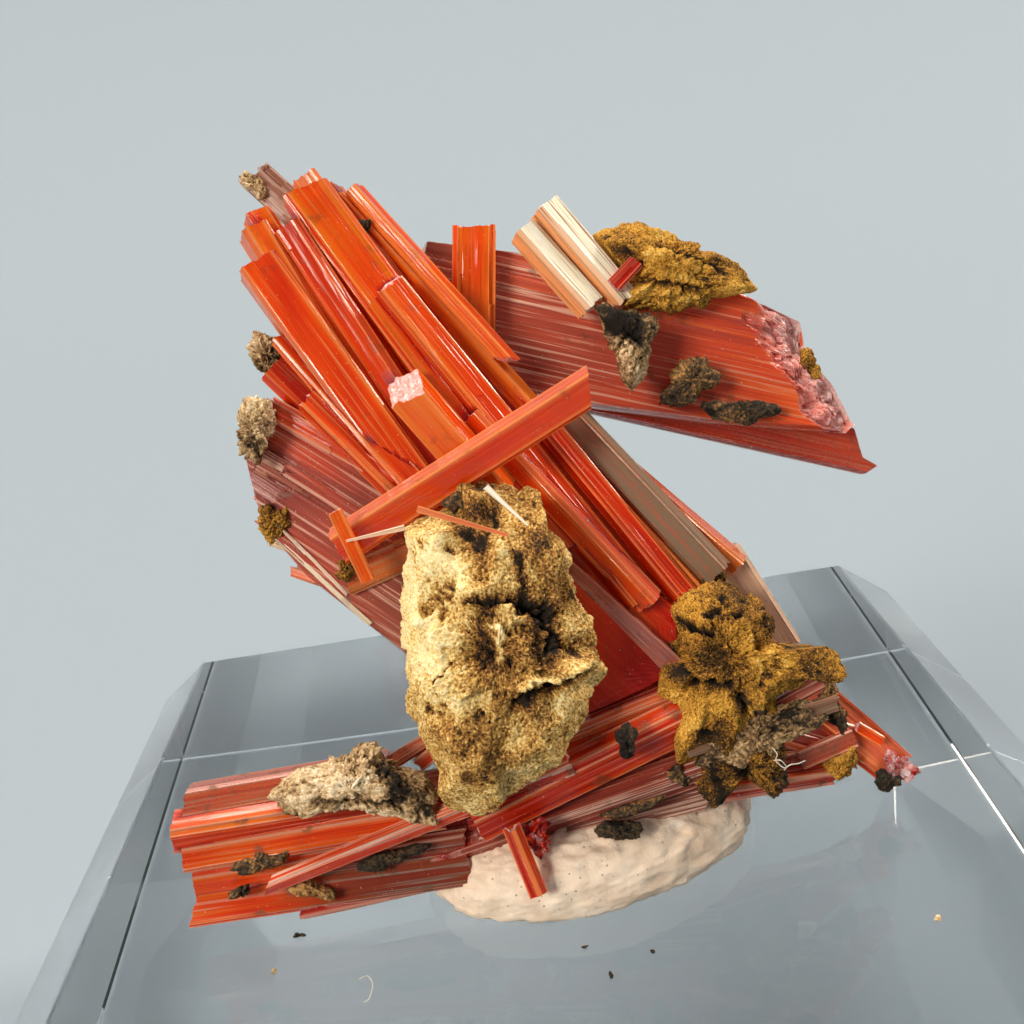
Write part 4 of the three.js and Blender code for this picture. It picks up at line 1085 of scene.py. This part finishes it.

# %% [markdown]
# ## The nodule
# The nodule is the largest lump. Its left side is cream clay and its right side is brown, which is
# partly its own colour and partly painted light from the left. A black crack, painted shade, opens into
# a hollow in the right half, a pale vein crosses the brown part, and a sharp ridge runs to the right
# below them, with a painted highlight along its top and painted shadow beneath.

# %% Nodule
NODULE = [(-1.9, 4.0), (-0.7, 4.2), (-0.1, 4.5), (0.3, 4.7), (1.1, 4.2), (1.8, 3.8), (1.9, 3.3),
          (2.4, 2.3), (2.5, 0.7), (2.7, 0.0), (2.6, -0.8), (2.8, -1.2), (2.4, -1.6), (2.1, -2.2),
          (2.0, -2.8), (1.3, -3.8), (0.8, -3.9), (-0.1, -4.2), (-1.2, -4.6), (-1.8, -4.3), (-2.3, -3.9),
          (-2.4, -2.9), (-2.6, -2.1), (-2.7, -1.0), (-2.6, 0.2), (-2.4, 1.5), (-2.2, 2.7)]
# Strokes: x0, z0, x1, z1, width, push, darkness, tint. Darkness paints shade into cracks; tints run lighter
# on the left and darker on the right, painting light from the left over the nodule's own colours.
NODULE_STROKES = [
    (-1.7, 4.1, 0.9, 4.0, 0.36, -0.05, 0.15, -0.3), (1.3, 3.9, 1.6, 2.7, 0.42, 0, 0.02, -0.2),
    (1.6, 2.7, 2.0, 1.1, 0.45, 0, 0, -0.22), (-0.1, 2.8, 0.0, 2.4, 0.45, -0.1, 0.03, -0.3),
    (-0.4, 3.4, 0.0, 3.1, 0.22, -0.1, 0.35, -0.2), (-1.5, 3.1, -0.5, 1.8, 0.56, 0.05, 0, 0.22),
    (-1.4, 1.3, -1.7, -0.9, 0.67, 0.05, 0, 0.22), (-0.6, -1.1, -1.4, -1.3, 0.56, 0.03, 0, 0.2),
    (-0.6, 1.5, 0.7, 1.3, 0.07, -0.3, 0.9, 0), (0.7, 1.3, 1.7, 1.0, 0.08, -0.3, 0.9, 0),
    (0.9, 1.2, 1.6, 0.8, 0.2, -0.4, 0.6, -0.1), (1.6, 0.8, 1.7, -0.2, 0.17, -0.3, 0.6, -0.1),
    (1.1, 2.0, 1.1, 1.3, 0.17, -0.12, 0.4, -0.1), (1.2, 0.5, 1.4, -0.7, 0.39, -0.12, 0.12, -0.28),
    (-0.2, 1.1, -0.4, -0.1, 0.42, -0.06, 0.03, -0.26), (-0.1, 0.7, 0.2, 0.5, 0.08, 0.1, -0.2, 0.45),
    (0.2, 0.5, 0.1, -0.3, 0.11, 0.12, -0.2, 0.5), (0.6, 0.9, 0.7, 0.1, 0.17, 0.05, 0, 0.02),
    (0.5, -1.1, 1.4, -1.0, 0.14, 0.25, -0.1, 0.25), (1.4, -1.0, 2.6, -0.8, 0.14, 0.35, -0.1, 0.1),
    (0.5, -1.6, 1.3, -1.4, 0.17, -0.3, 0.5, -0.1), (1.3, -1.4, 2.4, -1.2, 0.14, -0.35, 0.7, -0.1),
    (0.9, -2.0, 1.4, -2.9, 0.5, -0.04, 0, -0.2), (-1.7, -2.6, 0.2, -3.1, 0.73, -0.02, 0.04, -0.14),
    (-1.4, -3.6, -1.1, -3.9, 0.28, 0, 0.1, -0.2), (-1.3, -0.2, -1.9, -0.7, 0.03, -0.1, 0.9, 0),
    (-0.8, -1.8, -0.8, -1.9, 0.11, -0.15, 0.6, 0), (-1.7, 3.2, -1.6, 3.1, 0.11, -0.12, 0.6, 0),
    (-0.9, 3.0, -0.9, 2.9, 0.08, -0.12, 0.6, 0), (-1.1, 1.6, -1.1, 1.6, 0.11, -0.05, 0.2, -0.2),
    (1.7, -0.3, 1.8, -0.3, 0.11, -0.15, 0.7, 0),
]
nodule = lump((-0.7, -4.2, 26.4), NODULE, NODULE_SEED, front=2.0, behind=2.0, size=1.8, columns=410,
              rows=240, planes=70, tint=0.58, strokes=NODULE_STROKES)
finish_piece(add_surface("limonite_nodule_looks", nodule, smooth=True), CREAM, "limonite_nodule")

# %% [markdown]
# ## Small growths, crumbs and fibres
# Patches of dark limonite sit in the grooves between the crystals, tiny red crystals cluster at the
# putty and at the right end, and a few crumbs have dropped onto the block. They are lumps too, with an
# oval for an outline. Three fibres of lint are tubes along a bent path: each ring of a tube stands
# square to the path.

# %% Small growths and crumbs
SMALL = [
    ("gap_growth", (-8.75, -5.55, 20.95), 2.0, 0.42, 10, BLACK, dict(tint=0.62)),
    ("bundle_growth_a", (-9.5, -5.8, 20.2), 0.62, 0.4, 30, BLACK, dict(tint=0.5)),
    ("bundle_growth_b", (-7.4, -5.8, 19.9), 1.4, 0.5, -20, BLACK, dict(tint=0.75)),
    ("bundle_growth_c", (-4.9, -5.5, 20.35), 2.7, 0.5, 8, BLACK, dict(tint=0.5)),
    ("grey_chip", (9.15, -3.9, 22.6), 0.6, 1.0, 0, BLACK, dict(tint=0.65)),
    ("grey_shard", (6.7, -4.6, 23.0), 0.85, 0.6, 20, BLACK, dict(tint=0.6)),
    ("nodule_growth", (-0.95, -3.3, 30.6), 1.3, 0.55, 25, BLACK, dict(tint=0.55, front=0.3)),
    ("nodule_crumb", (2.65, -5.5, 23.2), 0.6, 0.85, -20, BLACK, dict(tint=0.35)),
    ("fan_growth_a", (-6.9, -1.7, 30.3), 0.8, 1.2, -30, OCHRE, dict(tint=0.45)),
    ("fan_growth_b", (-4.8, -3.0, 28.9), 0.7, 0.5, 0, OCHRE, dict(tint=0.5)),
    ("fan_growth_c", (-6.8, -0.8, 33.6), 0.7, 0.6, 0, BEIGE, dict(tint=0.4)),
    ("plate_growth_a", (6.6, 0.85, 32.0), 1.5, 1.3, 15, BLACK, dict(tint=0.58, front=0.3)),
    ("plate_growth_b", (8.1, 0.7, 30.8), 1.9, 0.8, -10, BLACK, dict(tint=0.5, front=0.3)),
    ("plate_growth_c", (10.6, 1.25, 31.9), 0.5, 0.9, 20, OCHRE, dict(tint=0.6, front=0.25)),
    ("grit_crust", (6.55, -4.85, 22.25), 5.3, 1.1, 11, BEIGE, dict(tint=0.36, front=0.4)),
    ("grit_lump_a", (5.6, -4.7, 21.4), 1.1, 0.6, 20, BLACK, dict(tint=0.7)),
    ("grit_lump_b", (4.1, -4.9, 21.3), 0.7, 0.5, -10, BLACK, dict(tint=0.75)),
    ("end_growth", (10.9, -3.9, 19.3), 0.9, 0.5, -20, BLACK, dict(tint=0.5)),
    ("rear_growth", (4.85, -3.2, 24.6), 0.8, 1.2, 0, OCHRE, dict(tint=0.4)),
    ("corner_growth", (9.3, -3.9, 22.0), 0.6, 1.1, 10, BLACK, dict(tint=0.5)),
    ("cap_crust", (-6.3, 4.1, 39.8), 0.9, 0.6, -50, BEIGE, dict(tint=0.5, front=0.35)),
    ("spray_foot_growth", (6.2, -2.0, 26.2), 1.0, 0.7, -20, OCHRE, dict(tint=0.35)),
    ("stalk_growth", (2.6, -5.6, 20.9), 1.6, 0.4, 10, BLACK, dict(tint=0.5)),
    ("spray_growth", (-2.9, 2.2, 38.2), 0.5, 0.35, -50, BLACK, dict(tint=0.6, front=0.15)),
    ("crumb_a", (-8.2, -5.5, 18.07), 0.3, 0.16, 0, BLACK, {}),
    ("crumb_b", (0.5, -7.9, 18.05), 0.16, 0.1, 0, BLACK, {}),
    ("crumb_c", (2.4, -8.5, 18.04), 0.12, 0.1, 0, BLACK, {}),
    ("crumb_d", (1.1, -9.2, 18.04), 0.12, 0.18, 0, BLACK, {}),
    ("crumb_e", (-8.8, -6.9, 18.04), 0.1, 0.1, 0, BEIGE, {}),
    ("crumb_f", (10.5, -8.9, 18.04), 0.12, 0.1, 0, BEIGE, {}),
]


def oval(width, height, tilt, seed):
    """A wavy oval outline of 24 points."""
    turn = np.linspace(0, 2 * np.pi, 24, endpoint=False)
    phases = np.random.default_rng(seed).uniform(0, 2 * np.pi, 3)[:, None]
    wave = 1 + np.array([0.2, 0.14, 0.1]) @ np.sin(np.array([[2], [3], [5]]) * turn + phases)
    return turned(np.stack([width * np.cos(turn), height * np.sin(turn)], 1) / 2 * wave[:, None], tilt)


for number, (name, middle, width, height, tilt, material, extras) in enumerate(SMALL):
    depth = min(width, height) / 2
    skin = dict(rough=0.1 * depth + 0.04, chipping=0.1 * depth, grain=0.05 * min(1, depth * 2))
    shape = {**dict(front=depth, behind=depth, columns=90, rows=44, planes=24), **skin, **extras}
    outline = oval(width, height, tilt, number)
    growth = lump(middle, outline, SMALL_SEED + LUMP_SEED_STEP * number, **shape)
    finish_piece(add_surface(name, growth, smooth=True), material)

# %% Red clusters
CLUSTERS = [
    ("red_cluster", (-0.45, -5.9, 20.6), 1.1, 0.9, 0),
    ("end_cluster", (11.3, -3.6, 19.5), 1.2, 0.8, -50),
]
for number, (name, middle, width, height, tilt) in enumerate(CLUSTERS):
    cluster = lump(middle, oval(width, height, tilt, 5), CLUSTER_SEED + number, front=0.45, behind=0.5,
                   rough=0.12, chipping=0.22, columns=120, rows=60)
    points = cluster["points"]
    cluster["marks"] = {"tone": 0.4 + 0.4 * ripples(points, 0.3, 6), "grain": points * 3,
                        "fresh": 0.5 * number + 0.4 * ripples(points, 0.5, 7)}
    finish_piece(add_surface(name, cluster), DARK)

# %% Chips and splinters
CHIPS = [
    ("red_chip", (4.6, 1.5, 35.3), (5.4, 1.7, 35.9), 0.5, 0.4, DARK, dict(tone=0.5)),
    ("side_chip", (7.4, -3.0, 21.6), (10.2, -3.0, 20.1), 1.4, 0.8, STRIATED, dict(tone=0.85, glint_lines=0.8,
     rough=0.2)),
    ("brown_chip", (8.2, -3.7, 20.4), (10.0, -3.5, 20.8), 0.6, 0.4, STRIATED, dict(tone=0.6, dust=0.4)),
    ("purple_chip", (7.3, -4.0, 22.6), (9.0, -3.7, 23.1), 0.45, 0.5, STRIATED, dict(tone=0.3, pale=0.5)),
    ("orange_chip", (10.2, -3.2, 21.0), (10.9, -3.5, 20.5), 0.35, 0.3, VIVID, dict(tone=0.6)),
    ("foot_chip", (10.9, -3.0, 19.5), (11.2, -3.2, 19.2), 0.3, 0.3, VIVID, dict(tone=0.7)),
    ("stem_chip", (-3.7, -3.9, 22.5), (-2.4, -3.9, 23.3), 0.45, 0.4, STRIATED, dict(tone=0.6)),
    ("fan_splinter_a", (-7.2, -1.4, 29.6), (-5.6, -2.2, 29.0), 0.3, 0.2, PALE, dict(tone=0.4)),
    ("fan_splinter_b", (-6.7, -1.9, 28.7), (-4.9, -2.6, 28.0), 0.3, 0.2, STRIATED, dict(tone=0.9)),
    # these two whitish splinters stand in for painted glints along the fan's lower edge
    ("fan_glint_splinter_c", (-4.4, -3.4, 27.2), (-7.0, -1.98, 30.0), 0.2, 0.16, PEACH, dict(tone=0.7, turn=20)),
    ("fan_glint_splinter_d", (-5.0, -2.98, 28.1), (-7.1, -1.78, 30.7), 0.14, 0.14, PEACH, dict(tone=0.8,
     turn=30)),
]
for number, (name, foot, tip, wide, deep, material, extras) in enumerate(CHIPS):
    chip = prism(foot, tip, wide, deep, CHIP_SEED + number, **extras)
    finish_piece(add_surface(name, chip), material)

# %% Lint
def tube(path, radius, sides=6, steps=60):
    """A tube along a smooth path: ring(walk, turn) = path(walk) + radius * (cos, sin)(turn) square to
    the path. A soft mean of the points nearby rounds the path."""
    path = np.asarray(path, float)
    knots = np.arange(len(path))
    walk = np.linspace(0, len(path) - 1, steps)
    soft = np.exp(-((walk[:, None] - knots) ** 2) / 0.5)
    line = soft @ path / soft.sum(1, keepdims=True)
    along = unit_rows(np.gradient(line, axis=0))
    side = unit_rows(np.cross(along, [0.31, 0.17, 0.94]))
    up = np.cross(along, side)
    turn = np.linspace(0, 2 * np.pi, sides, endpoint=False)[:, None]
    rings = line[:, None] + radius * (np.cos(turn) * side[:, None] + np.sin(turn) * up[:, None])
    count = steps * sides
    return {"points": np.concatenate([rings.reshape(-1, 3), line[:1], line[-1:]]),
            "quads": wrapped_rows(steps, sides),
            "triangles": np.concatenate([fan(0, sides, count, True), fan(count - sides, sides, count + 1)])}


LINT_STOPS = [(0.3, (0.45, 0.38, 0.30)), (0.7, (0.75, 0.70, 0.62))]
LINT = {
    "lint_long": (0.018, [(6.9, -5.6, 22.25), (7.05, -5.7, 22.05), (6.95, -5.6, 21.8), (7.2, -5.7, 21.5),
                          (7.4, -5.7, 21.65), (7.65, -5.6, 21.55), (7.95, -5.4, 21.5)]),
    "lint_short": (0.016, [(6.9, -5.6, 21.8), (7.1, -5.75, 21.9), (7.3, -5.7, 21.55), (7.2, -5.6, 21.4)]),
    "hair": (0.014, [(-6.2, -7.8, 18.03), (-5.9, -7.65, 18.03), (-5.7, -8.1, 18.05), (-5.8, -8.7, 18.03),
                     (-6.0, -8.75, 18.03)]),
}
fibre, fibre_tree, fibre_shader, _ = new_material("lint")
fibre_noise = use_group(fibre_tree, EARTH, object_place(fibre_tree), Size=0.3)["Patches"]
fibre_tree.links.new(ramp(fibre_tree, fibre_noise, LINT_STOPS), fibre_shader.inputs["Base Color"])
for name, (radius, path) in LINT.items():
    finish_piece(add_surface(name, tube(path, radius), smooth=True), fibre)

# %% [markdown]
# ## Putty
# The putty is a soft pad that was pressed flat by the crystals. Its outline is a slightly wavy oval with
# a rounded edge. Dark specks are scattered in it, and fine dents show where a tool pushed it in.

# %% Putty material
PUTTY_STOPS = [(0.3, (0.76, 0.56, 0.41)), (0.55, (0.89, 0.72, 0.56)), (0.8, (0.95, 0.82, 0.68))]
PUTTY_SPECK = (0.16, 0.10, 0.06)


def putty_material():
    """Beige clay with dark specks and a faint grain."""
    material, tree, shader, _ = new_material("putty_clay")
    earth = use_group(tree, EARTH, object_place(tree), Size=1.2, Grain=0.14)
    where = step(tree, earth["Patches"], 0.45, 0.55)
    speck = times(tree, step(tree, earth["Pits"], 0.16, 0.08), where)
    body = ramp(tree, earth["Patches"], PUTTY_STOPS)
    body = mixed(tree, times(tree, speck, 0.7), body, PUTTY_SPECK)
    tree.links.new(body, shader.inputs["Base Color"])
    tree.links.new(scaled(tree, earth["Grains"], 0.3, 0.5), shader.inputs["Roughness"])
    bumped(tree, shader, earth["Grains"], 0.5, 0.05)
    return material


PUTTY = putty_material()
print("putty finish:", PUTTY.name)

# %% Putty shape
PUTTY_HALF = np.array([5.7, 3.3])
PUTTY_HEIGHT = 2.2
PUTTY_CENTRE = np.array([1.2, -3.4, 18.0])
PUTTY_TURN = 8.0


def putty_surface(columns=220, rows=60):
    """A pad: radius and height follow a squeezed quarter round, and the outline wanders a little."""
    turn = np.linspace(0, 2 * np.pi, columns, endpoint=False)
    rise = np.linspace(0, np.pi / 2, rows + 1)[:-1][:, None]
    reach = np.cos(rise) ** 0.5 * (0.93 + 0.07 * np.sin(np.minimum(rise * 3, np.pi / 2)))
    wander = 1 + 0.018 * np.sin(3 * turn + 1) + 0.012 * np.sin(7 * turn) + 0.006 * np.sin(13 * turn + 2)
    wide, deep = (half * reach * wander for half in PUTTY_HALF)
    height = PUTTY_HEIGHT * np.sin(rise) ** 0.85 * np.ones(columns)
    local = np.stack([wide * np.cos(turn), deep * np.sin(turn), height], -1).reshape(-1, 3)
    local = np.concatenate([local, [[0, 0, 0], [0, 0, PUTTY_HEIGHT]]])
    dents = np.clip(ripples(local, 0.7, 79) - 0.5, 0, 1)
    skin = 0.05 * folded(local, 1.6, 77, 2) + 0.02 * ripples(local * [1, 1, 2], 0.35, 78) - 0.06 * dents
    local += unit_rows(local * [1, 1, 2]) * skin[:, None]
    local[:, 2] = np.maximum(local[:, 2], 0)
    local[:, :2] = turned(local[:, :2], PUTTY_TURN)
    pole = rows * columns
    triangles = np.concatenate([fan(0, columns, pole, True), fan((rows - 1) * columns, columns, pole + 1)])
    return {"points": local + PUTTY_CENTRE, "quads": wrapped_rows(rows, columns), "triangles": triangles}


finish_piece(add_surface("mounting_putty_looks", putty_surface(), smooth=True), PUTTY, "mounting_putty")

# %% [markdown]
# ## The clear block
# The block is cast acrylic: perfectly clear, with polished faces and a 45 degree bevel round its top.
# Real edges are never quite sharp, and a tiny rounding is what catches the light. Clear means plain
# transmission with the index of acrylic, 1.49.

# %% Clear block
BASE_SIDE, BASE_HEIGHT, BASE_BEVEL, BASE_EDGE = 38.0, 18.0, 3.5, 0.12
ACRYLIC_TINT, ACRYLIC_IOR = (0.97, 0.985, 0.99, 1.0), 1.49


def acrylic_material():
    """Clear acrylic with faint scuffs."""
    material, tree, shader, _ = new_material("clear_acrylic")
    earth = use_group(tree, EARTH, object_place(tree), Size=6.0, Grain=0.3)
    scuffs = times(tree, step(tree, earth["Patches"], 0.62, 0.9), 0.03)
    tree.links.new(scuffs, shader.inputs["Roughness"])
    shader.inputs["Base Color"].default_value = ACRYLIC_TINT
    shader.inputs["IOR"].default_value = ACRYLIC_IOR
    shader.inputs["Transmission Weight"].default_value = 1.0
    return material


def block_surface():
    """Three square rings from bottom to top: the upper one is drawn in by the bevel."""
    half = BASE_SIDE / 2
    square = np.array([[1, -1], [1, 1], [-1, 1], [-1, -1]])
    rings = [(half, 0.0), (half, BASE_HEIGHT - BASE_BEVEL), (half - BASE_BEVEL, BASE_HEIGHT)]
    points = [np.column_stack([square * size, np.full(4, height)]) for size, height in rings]
    return {"points": np.concatenate(points),
            "quads": np.concatenate([wrapped_rows(3, 4), [[3, 2, 1, 0], [8, 9, 10, 11]]])}


block = add_surface("acrylic_base_looks", block_surface())
rounding = block.modifiers.new("polished edges", "BEVEL")
rounding.width = BASE_EDGE * MM
rounding.segments = 2
finish_piece(block, acrylic_material(), "acrylic_base")

# %% [markdown]
# ## Floor, backdrop and lights
# A specimen is shown on a plain pale sweep: a floor that curves up into a backdrop with no seam. One
# large soft lamp stands overhead and a little behind, so that light enters the crystals from the back
# and makes them glow. A second stands to the right, where the facets on the spray's upper edges mirror
# it into the camera. A weak one fills the front left.

# %% Stage
SWEEP_RADIUS, SWEEP_BACK, SWEEP_FRONT, SWEEP_TOP, SWEEP_HALF = 300.0, 160.0, -2000.0, 2200.0, 2500.0
FLOOR_GAP = 0.05
FLOOR_COLOUR, FLOOR_ROUGHNESS = (0.265, 0.315, 0.365, 1.0), 0.85


def sweep_surface():
    """A floor profile that turns up through a quarter circle, carried along X. In mm."""
    bend = np.linspace(0, np.pi / 2, 32)
    wall = SWEEP_BACK + SWEEP_RADIUS
    y = np.concatenate([[SWEEP_FRONT], SWEEP_BACK + SWEEP_RADIUS * np.sin(bend), [wall]])
    z = np.concatenate([[0.0], SWEEP_RADIUS * (1 - np.cos(bend)), [SWEEP_TOP]]) - FLOOR_GAP
    points = np.concatenate([np.stack([np.full_like(y, x), y, z], 1) for x in (-SWEEP_HALF, SWEEP_HALF)])
    low = np.arange(len(y) - 1)
    return {"points": points, "quads": np.stack([low, low + len(y), low + len(y) + 1, low + 1], 1)}


sweep = add_surface("floor", sweep_surface(), smooth=True)
floor_material, _, floor_shader, _ = new_material("pale_floor")
floor_shader.inputs["Base Color"].default_value = FLOOR_COLOUR
floor_shader.inputs["Roughness"].default_value = FLOOR_ROUGHNESS
sweep.data.materials.append(floor_material)
print("floor quads:", len(sweep.data.polygons))

# %% Lamps and world
LAMP_COLOUR, LAMP_TARGET = (1, 0.91, 0.79), (0, 0, 0.028)
WORLD_COLOUR, WORLD_STRENGTH = (0.78, 0.86, 0.92, 1.0), 0.16


def lamp(name, place, size, power):
    """A square soft lamp, in metres and watts, that faces the middle of the specimen."""
    light = bpy.data.lights.new(name, "AREA")
    light.size, light.energy, light.color = size, power, LAMP_COLOUR
    holder = bpy.data.objects.new(name, light)
    bpy.context.scene.collection.objects.link(holder)
    back = unit(np.array(place) - LAMP_TARGET)
    right = unit(np.cross([0, 0, 1], back))
    holder.matrix_world = placed(right, np.cross(back, right), back, place)
    print(f"lamp {name}: {power} W, {size} m wide")


lamp("overhead", (-0.16, 0.26, 1.2), 0.60, 16.0)
lamp("right", (1.04, 0.20, 0.72), 0.40, 13.0)
lamp("front_left", (-0.84, -0.84, 0.64), 0.45, 16.5)
world = bpy.data.worlds.new("studio")
world.use_nodes = True
sky = world.node_tree.nodes["Background"].inputs
sky["Color"].default_value, sky["Strength"].default_value = WORLD_COLOUR, WORLD_STRENGTH
bpy.context.scene.world = world
bpy.context.scene.view_settings.view_transform = "Standard"
